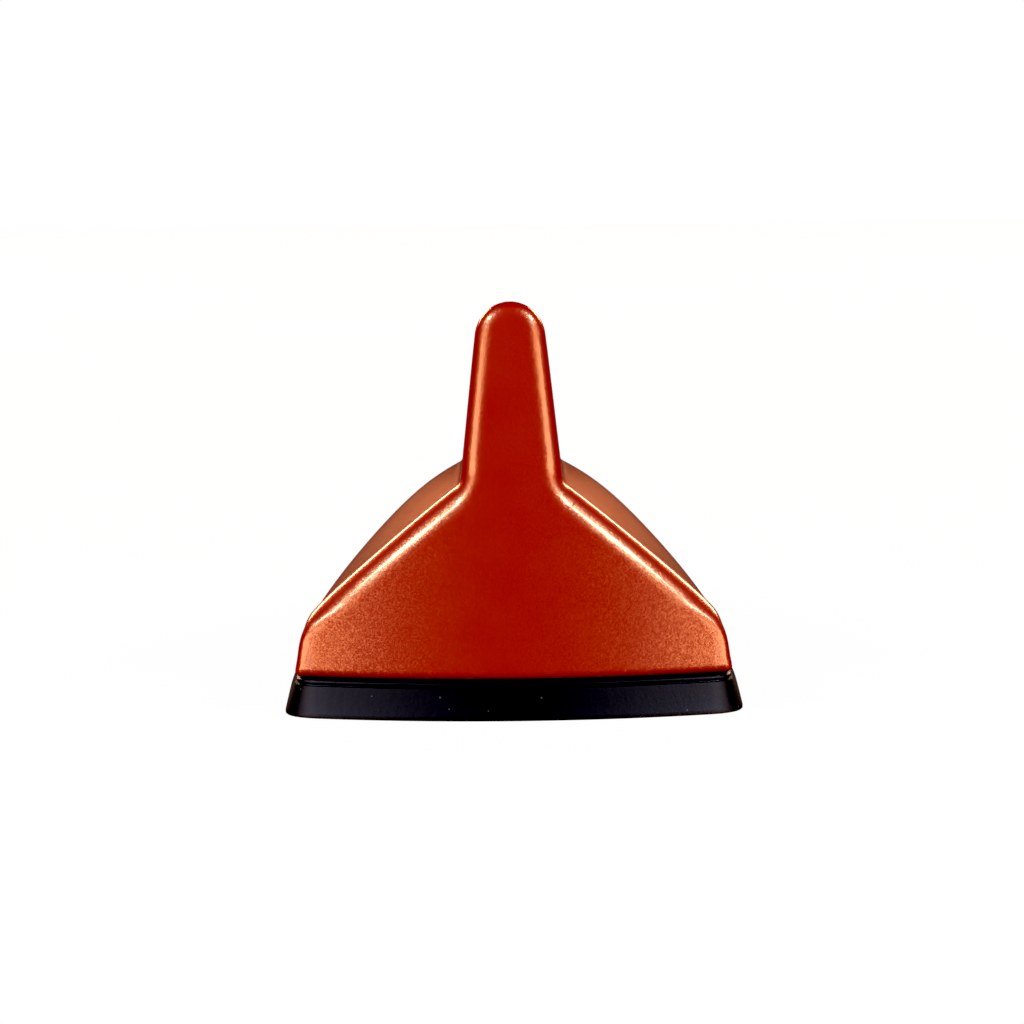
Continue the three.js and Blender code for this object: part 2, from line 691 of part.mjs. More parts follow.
function shieldFrameSolid() {
  const width = SHIELD_WIDTH - 2 * (SHIELD_SHEET + FIT);
  const length = SHIELD_LENGTH - 2 * (SHIELD_SHEET + FIT);
  const top = BOARD_TOP_Z + SHIELD_HEIGHT - SHIELD_SHEET - FIT;
  const outer = centredBlock(0, shieldY, width, length, BOARD_TOP_Z, top);
  const inside = centredBlock(0, shieldY, width - 2 * SHIELD_SHEET, length - 2 * SHIELD_SHEET, 0, TIP_Z);
  const bar = centredBlock(0, shieldY, width, SHIELD_BAR, top - SHIELD_SHEET, top);
  return outer.subtract(inside).add(bar);
}

function shieldCanSolid() {
  const top = BOARD_TOP_Z + SHIELD_HEIGHT;
  const low = BOARD_TOP_Z + FIT;
  const outer = centredBlock(0, shieldY, SHIELD_WIDTH, SHIELD_LENGTH, low, top);
  const width = SHIELD_WIDTH - 2 * SHIELD_SHEET;
  const length = SHIELD_LENGTH - 2 * SHIELD_SHEET;
  return outer.subtract(centredBlock(0, shieldY, width, length, 0, top - SHIELD_SHEET));
}

function patchCeramicSolid() {
  const top = BOARD_TOP_Z + PATCH_HEIGHT;
  const body = centredBlock(0, patchY, PATCH_SIZE, PATCH_SIZE, BOARD_TOP_Z, top);
  return body.subtract(disc(0, patchY, PIN_RADIUS + FIT, 0, TIP_Z));
}

function patchElectrodeSolid() {
  const low = BOARD_TOP_Z + PATCH_HEIGHT;
  const sheet = centredBlock(0, patchY, ELECTRODE_SIZE, ELECTRODE_SIZE, low, low + COPPER);
  return sheet.subtract(disc(0, patchY, PIN_RADIUS + FIT, 0, TIP_Z));
}

function feedPinSolid() {
  const head = BOARD_TOP_Z + PATCH_HEIGHT + COPPER;
  const shank = disc(0, patchY, PIN_RADIUS, BOARD_TOP_Z, head + 0.2);
  return shank.add(disc(0, patchY, PIN_HEAD_RADIUS, head, head + PIN_HEAD_HEIGHT));
}

function bladeSolid() {
  const low = BOARD_TOP_Z;
  const outline = [
    [-BLADE_HALF_WIDTH, low],
    [BLADE_HALF_WIDTH, low],
    [BLADE_HALF_WIDTH, low + BLADE_SHOULDER],
    [BLADE_TOP_HALF, low + BLADE_HEIGHT],
    [-BLADE_TOP_HALF, low + BLADE_HEIGHT],
    [-BLADE_HALF_WIDTH, low + BLADE_SHOULDER],
  ];
  return uprightAlongX(outline, bladeY, bladeY + THIN_BOARD);
}

// The copper area on one side of the upright blade, a margin inside its outline
function bladeCopperSolid() {
  const margin = COPPER_MARGIN;
  const low = BOARD_TOP_Z + margin;
  const half = BLADE_HALF_WIDTH - margin;
  const outline = [
    [-half, low],
    [-margin, low],
    [-margin, low + BLADE_HEIGHT / 3],
    [margin, low + BLADE_HEIGHT / 3],
    [margin, low],
    [half, low],
    [half, BOARD_TOP_Z + BLADE_SHOULDER - 0.3],
    [BLADE_TOP_HALF - margin / 2, BOARD_TOP_Z + BLADE_HEIGHT - margin],
    [-BLADE_TOP_HALF + margin / 2, BOARD_TOP_Z + BLADE_HEIGHT - margin],
    [-half, BOARD_TOP_Z + BLADE_SHOULDER - 0.3],
  ];
  return uprightAlongX(outline, bladeY - COPPER, bladeY);
}

const finBoardFrontY = shieldY - SHIELD_LENGTH / 2 - FIN_BOARD_FROM_SHIELD;

function finBoardSolid() {
  const low = BOARD_TOP_Z + HOLDER_FLOOR + GAP;
  const outline = [
    [finBoardRearY, low],
    [finBoardFrontY, low],
    [finBoardFrontY, crestZ(finBoardFrontY) - FIN_BOARD_CLEARANCE],
    [finBoardRearY, crestZ(finBoardRearY) - FIN_BOARD_CLEARANCE],
  ];
  return uprightAlongY(outline, -THIN_BOARD / 2, THIN_BOARD / 2);
}

function holderSolid(y) {
  const top = BOARD_TOP_Z + HOLDER_HEIGHT;
  const body = centredBlock(0, y, HOLDER_WIDTH, HOLDER_LENGTH, BOARD_TOP_Z, top);
  const slot = THIN_BOARD + 2 * FIT;
  return body.subtract(centredBlock(0, y, slot, HOLDER_LENGTH + 2, BOARD_TOP_Z + HOLDER_FLOOR, top + 1));
}

// The folded metal cap that straddles the fin board's upper edge
function topCapSolid() {
  const [y0, y1] = [finBoardRearY, finBoardFrontY];
  const roof = FIN_BOARD_CLEARANCE - GAP - CAP_SHEET;
  const outline = (drop0, drop1) => [
    [y0, crestZ(y0) - drop1],
    [y1, crestZ(y1) - drop1],
    [y1, crestZ(y1) - drop0],
    [y0, crestZ(y0) - drop0],
  ];
  const outer = uprightAlongY(outline(roof, roof + CAP_DEPTH), -CAP_HALF_WIDTH, CAP_HALF_WIDTH);
  const half = CAP_HALF_WIDTH - CAP_SHEET;
  const slope = (crestZ(y1) - crestZ(y0)) / (y1 - y0);
  const inside = uprightAlongY(
    [
      [y0 - 1, crestZ(y0) - slope - roof - CAP_DEPTH - 2],
      [y1 + 1, crestZ(y1) + slope - roof - CAP_DEPTH - 2],
      [y1 + 1, crestZ(y1) + slope - roof - CAP_SHEET],
      [y0 - 1, crestZ(y0) - slope - roof - CAP_SHEET],
    ],
    -half,
    half,
  );
  return outer.subtract(inside);
}

const coilLow = BOARD_TOP_Z + COIL_STAND;

class CoilPath extends THREE.Curve {
  getPoint(share, target = new THREE.Vector3()) {
    const turn = share * COIL_TURNS * 2 * Math.PI;
    const z = coilLow + COIL_WIRE + share * COIL_TURNS * COIL_PITCH;
    return target.set(COIL_RADIUS * Math.cos(turn), coilY + COIL_RADIUS * Math.sin(turn), z);
  }
}

function coilSolid() {
  const section = new THREE.Shape();
  section.absarc(0, 0, COIL_WIRE, 0, 2 * Math.PI, false);
  const options = {
    steps: COIL_TURNS * 14,
    curveSegments: 3,
    bevelEnabled: false,
    extrudePath: new CoilPath(),
  };
  return toSolid(new THREE.ExtrudeGeometry(section, options));
}

function coilFormerSolid() {
  const flange = COIL_RADIUS;
  const top = coilLow + COIL_TURNS * COIL_PITCH + 2 * COIL_WIRE + 1;
  const core = disc(0, coilY, FORMER_RADIUS, BOARD_TOP_Z, top);
  return core.add(disc(0, coilY, flange, BOARD_TOP_Z, coilLow - 0.5));
}

// ---- Assembly ------------------------------------------------------------------------------------

const antenna = new THREE.Group();
antenna.name = 'roof_antenna';

antenna.add(node('cover', coverSolid(), PAINT));
antenna.add(node('gasket', gasketSolid(), RUBBER));
antenna.add(node('cover_seal', coverSealSolid(), RUBBER));
antenna.add(node('boss_seal', bossSealSolid(), RUBBER));
antenna.add(node('base_plate', basePlateSolid(), ZINC));
antenna.add(node('fixing_insert', insertSolid(), BRASS));

let clipNumber = 0;
for (const y of clipYs) {
  for (const side of [-1, 1]) {
    clipNumber += 1;
    antenna.add(node(`cover_clip_${clipNumber}`, clipSolid(side, y), STEEL));
  }
}

antenna.add(node('connector_block', connectorSolid(), MOULDED));
socketXs.forEach((x, k) => {
  const pin = disc(x, BLOCK_Y, PIN_RADIUS, SOCKET_CEILING_Z - CONTACT_STUB, BOARD_Z, 12);
  antenna.add(node(`contact_pin_${k + 1}`, pin, BRASS));
});

const vent = disc(0, VENT_Y, VENT_RADIUS, PLATE_TOP_Z, PLATE_TOP_Z + VENT_THICKNESS);
antenna.add(node('vent_disc', vent, MEMBRANE));

antenna.add(node('main_board', mainBoardSolid(), BOARD_GREEN));
posts.forEach(([x, y], k) => {
  antenna.add(node(`board_screw_${k + 1}`, boardScrewSolid(x, y), STEEL));
});

antenna.add(node('shield_frame', shieldFrameSolid(), STEEL));
antenna.add(node('shield_can', shieldCanSolid(), STEEL));
[-1, 1].forEach((side, k) => {
  const y = shieldY + side * SHIELD_LENGTH / 4;
  const chipTop = BOARD_TOP_Z + CHIP_HEIGHT;
  const chip = centredBlock(side * CHIP_STAGGER, y, CHIP_SIZE, CHIP_SIZE, BOARD_TOP_Z, chipTop);
  antenna.add(node(`amplifier_chip_${k + 1}`, chip, CHIP));
});

antenna.add(node('patch_ceramic', patchCeramicSolid(), CERAMIC));
antenna.add(node('patch_electrode', patchElectrodeSolid(), SILVER));
antenna.add(node('patch_feed_pin', feedPinSolid(), COPPER_METAL));

antenna.add(node('phone_blade', bladeSolid(), BOARD_GREEN));
antenna.add(node('phone_blade_copper', bladeCopperSolid(), COPPER_METAL));

antenna.add(node('fin_board', finBoardSolid(), BOARD_GREEN));
[finBoardRearY + HOLDER_LENGTH, finBoardFrontY - HOLDER_LENGTH].forEach((y, k) => {
  antenna.add(node(`fin_board_holder_${k + 1}`, holderSolid(y), MOULDED));
});
antenna.add(node('top_cap', topCapSolid(), STEEL));
antenna.add(node('coil_former', coilFormerSolid(), MOULDED));
antenna.add(node('antenna_coil', coilSolid(), COPPER_METAL));

export default antenna;
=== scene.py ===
# %% [markdown]
# # A car roof antenna with a painted fin cover
#
# The antenna sits on a car's roof: a moulded cover in red metallic car paint over a die-cast base
# with the aerial boards, and a black rubber gasket that seals against the roof sheet. This lesson
# builds its looks around a fixed frame, the engineering model, in which every piece has its place.
# The frame is loaded first.

# %% Load the fixed frame
import math

import bmesh
import bpy
import numpy as np
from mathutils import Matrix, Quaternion, Vector


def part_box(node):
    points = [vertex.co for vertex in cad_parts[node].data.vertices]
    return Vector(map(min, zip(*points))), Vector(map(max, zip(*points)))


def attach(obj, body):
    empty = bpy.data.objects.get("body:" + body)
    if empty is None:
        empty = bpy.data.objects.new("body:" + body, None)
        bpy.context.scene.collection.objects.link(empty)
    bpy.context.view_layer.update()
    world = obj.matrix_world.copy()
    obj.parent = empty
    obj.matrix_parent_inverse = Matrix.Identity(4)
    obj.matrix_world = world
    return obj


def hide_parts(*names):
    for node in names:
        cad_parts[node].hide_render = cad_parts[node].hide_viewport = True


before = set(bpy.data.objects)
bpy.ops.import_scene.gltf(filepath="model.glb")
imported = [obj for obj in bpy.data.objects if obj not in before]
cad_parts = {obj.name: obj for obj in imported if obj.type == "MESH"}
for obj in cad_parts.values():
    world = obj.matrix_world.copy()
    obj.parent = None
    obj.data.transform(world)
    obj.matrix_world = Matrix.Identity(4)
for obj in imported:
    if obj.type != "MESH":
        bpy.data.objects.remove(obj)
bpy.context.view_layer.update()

MM = 0.001
SAME_POINT = 1e-6  # metres: points closer than this are one

# %% [markdown]
# ## Helpers for meshes
#
# Every piece ends as one mesh at the origin, in metres, with its place in its vertices. Shapes are
# worked out in millimetres, the unit that the maker's drawing would use, and scaled here.

# %% Make an object from points and faces
def linked(name, data):
    """A new object in the scene, made of this data."""
    made = bpy.data.objects.new(name, data)
    bpy.context.scene.collection.objects.link(made)
    return made


def make_piece(name, points_mm, faces, material=None):
    """A smooth-shaded object at the origin, with its points scaled to metres."""
    mesh = bpy.data.meshes.new(name)
    mesh.from_pydata([tuple(p) for p in np.asarray(points_mm) * MM], [], faces)
    mesh.update()
    piece = linked(name, mesh)
    mesh.polygons.foreach_set("use_smooth", [True] * len(mesh.polygons))
    if material:
        mesh.materials.append(material)
    return piece


def applied(piece):
    """The piece with its modifiers worked into its mesh."""
    graph = bpy.context.evaluated_depsgraph_get()
    mesh = bpy.data.meshes.new_from_object(piece.evaluated_get(graph))
    piece.modifiers.clear()
    old, piece.data = piece.data, mesh
    bpy.data.meshes.remove(old)
    return piece


def combine(piece, other, operation):
    """Cuts other out of piece, or joins it on, and removes other."""
    cut = piece.modifiers.new("combine", "BOOLEAN")
    cut.operation, cut.object, cut.solver = operation, other, "MANIFOLD"
    applied(piece)
    bpy.data.objects.remove(other)
    return piece


def sharpen(piece, degrees=35):
    """Keeps edges that turn by more than this crisp, and everything else smooth."""
    mesh = piece.data
    mesh.polygons.foreach_set("use_smooth", [True] * len(mesh.polygons))
    mesh.set_sharp_from_angle(angle=math.radians(degrees))


def face_outward(piece):
    """Merges points that coincide, then turns every face of the closed mesh to the outside."""
    build = bmesh.new()
    build.from_mesh(piece.data)
    bmesh.ops.remove_doubles(build, verts=build.verts, dist=SAME_POINT)
    bmesh.ops.recalc_face_normals(build, faces=build.faces)
    build.to_mesh(piece.data)
    build.free()


# %% [markdown]
# ## Materials: one helper, real names
#
# A material here is a small node tree. One function adds a node with its settings and its links,
# and one turns the hex colours of a colour chart into the linear values that a shader works in.

# %% Material helpers
def linear(hex_colour):
    """The linear RGBA of an sRGB hex colour."""
    channels = [int(hex_colour[i : i + 2], 16) / 255 for i in (1, 3, 5)]
    return (*[c / 12.92 if c <= 0.04045 else ((c + 0.055) / 1.055) ** 2.4 for c in channels], 1.0)


def add(tree, kind, settings=None, **inputs):
    """Adds a node with its settings and its inputs: values, sockets, or nodes for their first output."""
    node = tree.nodes.new(kind)
    for key, value in (settings or {}).items():
        setattr(node, key, value)
    for key, value in inputs.items():
        name = key.replace("_", " ")
        socket = node.inputs[int(key[1:])] if key[0] == "i" and key[1:].isdigit() else node.inputs[name]
        if isinstance(value, bpy.types.Node):
            value = value.outputs[0]
        if isinstance(value, bpy.types.NodeSocket):
            tree.links.new(value, socket)
        else:
            socket.default_value = value
    return node


COLOURS = {"data_type": "RGBA"}  # makes a mix node mix colours


def new_material(name):
    material = bpy.data.materials.new(name)
    material.use_nodes = True
    tree = material.node_tree
    tree.nodes.clear()
    output = tree.nodes.new("ShaderNodeOutputMaterial")
    coords = tree.nodes.new("ShaderNodeTexCoord").outputs["Object"]

    def finish(shader):
        tree.links.new(shader.outputs[0], output.inputs["Surface"])
        return material

    return tree, coords, finish


def per_metre(size_mm):
    """The Scale that gives a pattern features of this size in millimetres."""
    return 1 / (size_mm * MM)


# %% [markdown]
# ## Metallic car paint
#
# The cover is painted like the car: a base coat of red pigment and pearl flake, which is mica in a
# skin of titanium dioxide, then a gloss clear coat over it. The pigment gives the deep red of the
# shaded panel. The flake lies nearly flat and sends back a broad, warmer shine next to every lamp.
# The clear coat adds the sharp white lines. In one shader they are the base colour, a wide tinted
# specular lobe whose normal each flake tilts a little, and a smooth coat that keeps the surface's own
# normal. A painted picture of flakes would blur up close, so random cells stand in for them.

# %% Metallic car paint
PIGMENT, PIGMENT_FLAKE, FLAKE_SHINE = "#E20200", "#EE0802", "#FFCB9C"
FLAKE_MM = 0.16  # real flake is 0.02 mm; drawn coarser so that its sparkle can be seen
FLAKE_TILT = 0.13  # the flakes lean up to about 4 degrees each way
FLAKE_IOR = 2.4  # titanium dioxide, so the flake shines far more than a plain pigment would
FLAKE_SPARSE = 0.4  # this share of the cells keeps the plain pigment's colour
FLAKE_ROUGH = (0.29, 0.35)
CLOUD_MM = 7  # flake settles a little unevenly as the coat dries
CLEAR_IOR, CLEAR_ROUGH, CLEAR_SHARE = 1.45, 0.03, 0.75


def car_paint():
    tree, coords, finish = new_material("red_metallic_car_paint")
    flakes = add(tree, "ShaderNodeTexVoronoi", Vector=coords, Scale=per_metre(FLAKE_MM))
    tilt = add(tree, "ShaderNodeVectorMath", {"operation": "SUBTRACT"},
               i0=flakes.outputs["Color"], i1=(0.5, 0.5, 0.5))
    small = add(tree, "ShaderNodeVectorMath", {"operation": "SCALE"}, i0=tilt, Scale=FLAKE_TILT)
    surface = tree.nodes.new("ShaderNodeNewGeometry").outputs["Normal"]
    tilted = add(tree, "ShaderNodeVectorMath", {"operation": "ADD"}, i0=surface, i1=small)
    normal = add(tree, "ShaderNodeVectorMath", {"operation": "NORMALIZE"}, i0=tilted)
    parts = add(tree, "ShaderNodeSeparateColor", Color=flakes.outputs["Color"])
    pick = add(tree, "ShaderNodeMapRange", i0=parts, i1=FLAKE_SPARSE, i2=1.0)
    cloud = add(tree, "ShaderNodeTexNoise", Vector=coords, Scale=per_metre(CLOUD_MM), Detail=3.0)
    spread = add(tree, "ShaderNodeMath", {"operation": "MULTIPLY"}, i0=pick, i1=cloud)
    colour = add(tree, "ShaderNodeMix", COLOURS, i0=spread, i6=linear(PIGMENT), i7=linear(PIGMENT_FLAKE))
    rough = add(tree, "ShaderNodeMapRange", i0=cloud, i3=FLAKE_ROUGH[0], i4=FLAKE_ROUGH[1])
    paint = add(tree, "ShaderNodeBsdfPrincipled", Base_Color=colour.outputs[2],
                Roughness=rough, IOR=FLAKE_IOR, Specular_IOR_Level=1.0,
                Specular_Tint=linear(FLAKE_SHINE), Normal=normal,
                Coat_Weight=CLEAR_SHARE, Coat_Roughness=CLEAR_ROUGH, Coat_IOR=CLEAR_IOR)
    return finish(paint)


red_paint = car_paint()
print("paint:", red_paint.name)

# %% [markdown]
# ## The other finishes
#
# Everything under the paint is a plain engineering finish: cast zinc, plated sheet, turned brass,
# moulded plastic, ceramic, circuit board. They differ in colour, in gloss, and in the size and the
# direction of the grain that their making leaves. One recipe covers them: noise at the size of the
# grain mixes two close colours, moves the roughness a little, and lifts a bump as high as the grain.

# %% A finish with grain
BROAD = 14  # the cloudiness of a finish is this many times wider than its grain
NOISE_LOW, NOISE_HIGH = 0.7, 1.3  # two noises added together mostly stay between these


def grained(name, dark, light, grain_mm, roughness, spread=0.08, metallic=0.0, height_mm=0.01,
            stretch=(1, 1, 1), ior=1.5):
    tree, coords, finish = new_material(name)
    along = add(tree, "ShaderNodeMapping", Vector=coords, Scale=stretch)
    grain = add(tree, "ShaderNodeTexNoise", Vector=along, Scale=per_metre(grain_mm),
                Detail=5.0, Roughness=0.6)
    broad = add(tree, "ShaderNodeTexNoise", Vector=coords, Scale=per_metre(grain_mm * BROAD), Detail=2.0)
    mixed = add(tree, "ShaderNodeMath", {"operation": "ADD"}, i0=grain, i1=broad)
    share = add(tree, "ShaderNodeMapRange", i0=mixed, i1=NOISE_LOW, i2=NOISE_HIGH)
    colour = add(tree, "ShaderNodeMix", COLOURS, i0=share, i6=linear(dark), i7=linear(light))
    rough = add(tree, "ShaderNodeMapRange", i0=mixed, i1=NOISE_LOW, i2=NOISE_HIGH,
                i3=roughness - spread, i4=roughness + spread)
    bump = add(tree, "ShaderNodeBump", Strength=0.6, Distance=height_mm * MM, Height=grain)
    shader = add(tree, "ShaderNodeBsdfPrincipled", Base_Color=colour.outputs[2],
                 Roughness=rough, Metallic=metallic, IOR=ior, Normal=bump)
    return finish(shader)


# Black ABS, spark-eroded mould face: an even, fine matt inside of the cover
black_abs = grained("black_abs_moulding", "#101113", "#1B1C1F", 0.5, 0.5, height_mm=0.02)
# PBT connector and coil former: a little smoother than the cover's inside
grey_pbt = grained("dark_pbt_moulding", "#1C1E22", "#292B30", 0.4, 0.42)
# Zinc die casting, as cast: pale grey, cloudy where the metal chilled, with a soft sparkle
cast_zinc = grained("as_cast_zinc", "#7E8385", "#B4B8B9", 0.9, 0.42, spread=0.1, metallic=1.0,
                    height_mm=0.03)
# Nickel-plated steel sheet: bright, with the rolling direction just visible
plated_steel = grained("nickel_plated_steel", "#A9ABAD", "#CFD0D1", 0.25, 0.26, spread=0.07,
                       metallic=1.0, height_mm=0.0015, stretch=(1, 0.12, 1))
# Turned brass: warm yellow with fine rings left by the tool
turned_brass = grained("turned_brass", "#A67C38", "#D0A85C", 0.2, 0.3, metallic=1.0,
                       height_mm=0.005, stretch=(0.2, 0.2, 1))
# Enamelled copper winding wire: orange-brown under a clear varnish
copper_wire = grained("enamelled_copper_wire", "#8A3F1E", "#B8643A", 0.6, 0.24, spread=0.06,
                      metallic=1.0, height_mm=0.003)
# Copper foil, etched: matt, a little blotchy
copper_foil = grained("etched_copper_foil", "#A8623C", "#CC8A60", 0.5, 0.38, metallic=1.0,
                      height_mm=0.006)
# Fired ceramic: off-white and dense, with a fine pressed texture
fired_ceramic = grained("pressed_ceramic", "#C9BEA8", "#DDD4C2", 0.35, 0.5, height_mm=0.012, ior=1.6)
# Fired silver paste: a pale metal skin, dull from the screen it was printed through
silver_paste = grained("fired_silver_paste", "#BDBCB6", "#DEDDD8", 0.22, 0.36, metallic=1.0,
                       height_mm=0.008)
# Epoxy chip package: charcoal, finely pitted
chip_epoxy = grained("chip_epoxy", "#141517", "#222326", 0.25, 0.48, height_mm=0.012)
# Expanded PTFE membrane: white and fibrous
membrane_felt = grained("membrane_ptfe", "#D2D2CC", "#EFEFEA", 0.3, 0.8, height_mm=0.03,
                        stretch=(1, 0.4, 1))
# Chip resistor: a dark glassy film; its pale end caps are too small to show and left out
resistor_film = grained("resistor_glass_film", "#17181A", "#3A3B3E", 0.3, 0.3, height_mm=0.006)
print("finishes:", len(bpy.data.materials))

# %% [markdown]
# ## Gasket rubber
#
# The gasket is EPDM, moulded black and never polished: it takes light as a soft blue-grey sheen where
# it turns away, and goes nearly black where it faces the eye. Two things keep it from looking like
# plastic: fine upright flow lines from the mould, and a few specks of pale dust that it picks up.

# %% Gasket rubber
SKIN_MM, FLOW_MM, FLOW_LENGTHEN = 0.35, 0.9, 20
RELIEF_MM = 0.03
SPECK_MM, SPECK_CORE, SPECK_EDGE = 2.6, 0.035, 0.06  # spacing, then radii as shares of it
RUBBER_IOR = 1.52


def epdm_rubber():
    tree, coords, finish = new_material("epdm_rubber")
    skin = add(tree, "ShaderNodeTexNoise", Vector=coords, Scale=per_metre(SKIN_MM), Detail=6.0)
    upright = add(tree, "ShaderNodeMapping", Vector=coords, Scale=(1, 1, 1 / FLOW_LENGTHEN))
    flow = add(tree, "ShaderNodeTexNoise", Vector=upright, Scale=per_metre(FLOW_MM), Detail=2.0)
    heights = add(tree, "ShaderNodeMath", {"operation": "ADD"}, i0=skin, i1=flow)
    bump = add(tree, "ShaderNodeBump", Strength=0.5, Distance=RELIEF_MM * MM, Height=heights)
    base = add(tree, "ShaderNodeMix", COLOURS, i0=flow, i6=linear("#040406"), i7=linear("#090A10"))
    cells = add(tree, "ShaderNodeTexVoronoi", Vector=coords, Scale=per_metre(SPECK_MM))
    speck = add(tree, "ShaderNodeMapRange", i0=cells.outputs["Distance"], i1=SPECK_CORE,
                i2=SPECK_EDGE, i3=1.0, i4=0.0)
    dusty = add(tree, "ShaderNodeMix", COLOURS, i0=speck, i6=base.outputs[2], i7=linear("#6E727C"))
    rough = add(tree, "ShaderNodeMapRange", i0=skin, i3=0.34, i4=0.5)
    rubber = add(tree, "ShaderNodeBsdfPrincipled", Base_Color=dusty.outputs[2],
                 Roughness=rough, IOR=RUBBER_IOR, Specular_IOR_Level=0.55,
                 Specular_Tint=linear("#D2DAFF"), Normal=bump)
    return finish(rubber)


rubber = epdm_rubber()

# %% [markdown]
# ## Circuit board
#
# A board is glass cloth in epoxy with copper tracks under a green solder mask. The mask is glossy and
# deeper green over the cloth, paler where a track lies under it. A brick pattern stands in for the
# tracks: its mortar lines are straight, meet at right angles, and spell nothing. It lies in one plane,
# so each way that a board stands has its own turn of it.

# %% Circuit board
TRACK_ROW_MM, TRACK_RUN_MM, TRACK_WIDTH_MM = 1.3, 7, 0.28
CLOTH_MM = 0.4
MASK_RELIEF_MM = 0.03


def solder_mask(name, turned):
    tree, coords, finish = new_material(name)
    turn = add(tree, "ShaderNodeMapping", Vector=coords, Rotation=turned)
    tracks = add(tree, "ShaderNodeTexBrick", {"offset": 0.35, "squash": 0.7}, Vector=turn,
                 Scale=1.0, Mortar_Size=TRACK_WIDTH_MM * MM, Brick_Width=TRACK_RUN_MM * MM,
                 Row_Height=TRACK_ROW_MM * MM)
    cloth = add(tree, "ShaderNodeTexNoise", Vector=coords, Scale=per_metre(CLOTH_MM), Detail=3.0)
    weave = add(tree, "ShaderNodeMix", COLOURS, i0=cloth, i6=linear("#0C3A22"), i7=linear("#155233"))
    mask = add(tree, "ShaderNodeMix", COLOURS, i0=tracks.outputs["Fac"],
               i6=weave.outputs[2], i7=linear("#2C8450"))
    rough = add(tree, "ShaderNodeMapRange", i0=cloth, i3=0.22, i4=0.36)
    bump = add(tree, "ShaderNodeBump", Strength=0.5, Distance=MASK_RELIEF_MM * MM,
               Height=tracks.outputs["Fac"])
    shader = add(tree, "ShaderNodeBsdfPrincipled", Base_Color=mask.outputs[2],
                 Roughness=rough, IOR=1.55, Normal=bump)
    return finish(shader)


flat_board = solder_mask("green_solder_mask_flat", (0, 0, 0))
cross_board = solder_mask("green_solder_mask_across", (math.pi / 2, 0, 0))
upright_board = solder_mask("green_solder_mask_upright", (0, math.pi / 2, 0))
print("boards:", flat_board.name, cross_board.name, upright_board.name)

# %% [markdown]
# ## The cover's shape as a rule
#
# The cover is a hull with a fin growing out of it, cut off behind by one bowed panel. All its edges
# are rolled over a few millimetres, because sharp edges can't be moulded or painted, and those rolls
# carry the long highlights. A surface like that is hard to draw by hand, but easy to state as a
# rule: each flank is a signed distance, and two flanks meet in a round edge of a stated radius.
# The width, length and height come from the cover's box in the frame. The rest describe the outline
# from above (the footprint), the three lines that run along each side (the crest of the fin, the root
# where the fin meets the shoulder, the corner where the shoulder meets the wall), and the rolls.

# %% Driving sizes of the cover, in millimetres
def span(node):
    """The lowest and highest corner of a node's box, in millimetres."""
    low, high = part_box(node)
    return low / MM, high / MM


def middle(node):
    """The middle of a node seen from above, in millimetres."""
    low, high = span(node)
    return (low.x + high.x) / 2, (low.y + high.y) / 2


cover_low, cover_high = span("cover")

# Footprint: widest a little ahead of the rear panel, pointed at the nose, bowed behind
COVER_HALF = cover_high.x
REAR_Y, NOSE_Y = cover_low.y, cover_high.y
WIDEST_BACK = 33
WIDEST_Y = REAR_Y + WIDEST_BACK
REAR_NARROWING = 0.003
NOSE_SHARPNESS = 0.7
NOSE_BLUNTED = 0.2
BOW_RADIUS = 112

# Heights of the crest, root and corner lines at the rear, and of the first two at the nose
JOINT_Z = 6.2
TIP_Z = cover_high.z
CORNER_Z, ROOT_Z = 13.2, 36.1
NOSE_CREST_Z, NOSE_ROOT_Z = 9.6, 8.4

# Powers of how those lines fall towards the nose: a larger HOLLOW or DROP falls sooner, a larger
# HOLD stays high for longer
CREST_HOLLOW = 1.05
ROOT_HOLD, ROOT_DROP, CORNER_DROP = 2.09, 0.956, 5.76
CREST_FALL_COSINE = 0.94

# Fin, walls and shoulder: how far they lean, narrow and bulge
LEAN = math.tan(math.radians(10))
FIN_ROOT_HALF = 8.05
FIN_TAPER = math.tan(math.radians(6.2))
FIN_NARROWING = 1.2
DRAFT = 0.1
SHOULDER_BOW, NOSE_BOW, BOW_GAIN = 0.18, 0.62, 2.96
HUMP_HIGH, HUMP_LOW, HUMP_POWER, HUMP_FROM = 0.9, 0.35, 5, 0.3
RIM_FLARE, RIM_FLARE_HEIGHT, FLARE_FROM = 0.45, 2.2, 0.5

# Rolled edges and fillets
RIDGE_ROLL = 3.4
FIN_EDGE_ROLL = 2.6
WALL_EDGE_ROLL = 1.1
CREST_ROLL = 4.9
CORNER_ROLL = 1.6
ROOT_FILLET = 0.8
RIM_ROLL = 1.0
NOSE_ROLL = 1.5
KEEL_ROLL = 0.8  # rounds the fold along the middle of the nose
TIP_RISE = 0.8  # the crest is drawn this much higher, because its roll takes as much off the tip
WALL = 2.2
print("cover:", round(2 * COVER_HALF, 1), "wide,", round(NOSE_Y - REAR_Y, 1), "long, tip at", round(TIP_Z, 1))


# %% Signed distances and their round joints
def round_meet(a, b, radius):
    """Both flanks, meeting in an outer edge rolled to this radius."""
    return np.minimum(np.maximum(a, b), -radius) + np.hypot(
        np.maximum(a + radius, 0), np.maximum(b + radius, 0)
    )


def round_join(a, b, radius):
    """Either body, with an inner fillet of this radius where they touch."""
    return np.maximum(np.minimum(a, b), radius) - np.hypot(
        np.maximum(radius - a, 0), np.maximum(radius - b, 0)
    )


def taper_at(y, inset=0):
    """The share of its full half-width that the footprint, moved in by inset, keeps at y."""
    back = np.clip((WIDEST_Y - y) / WIDEST_BACK, 0, None)
    ahead = np.clip((y - WIDEST_Y) / (NOSE_Y - inset - WIDEST_Y), 0, 1)
    return np.where(y <= WIDEST_Y, 1 - REAR_NARROWING * back**2, (1 - ahead**2) ** NOSE_SHARPNESS)


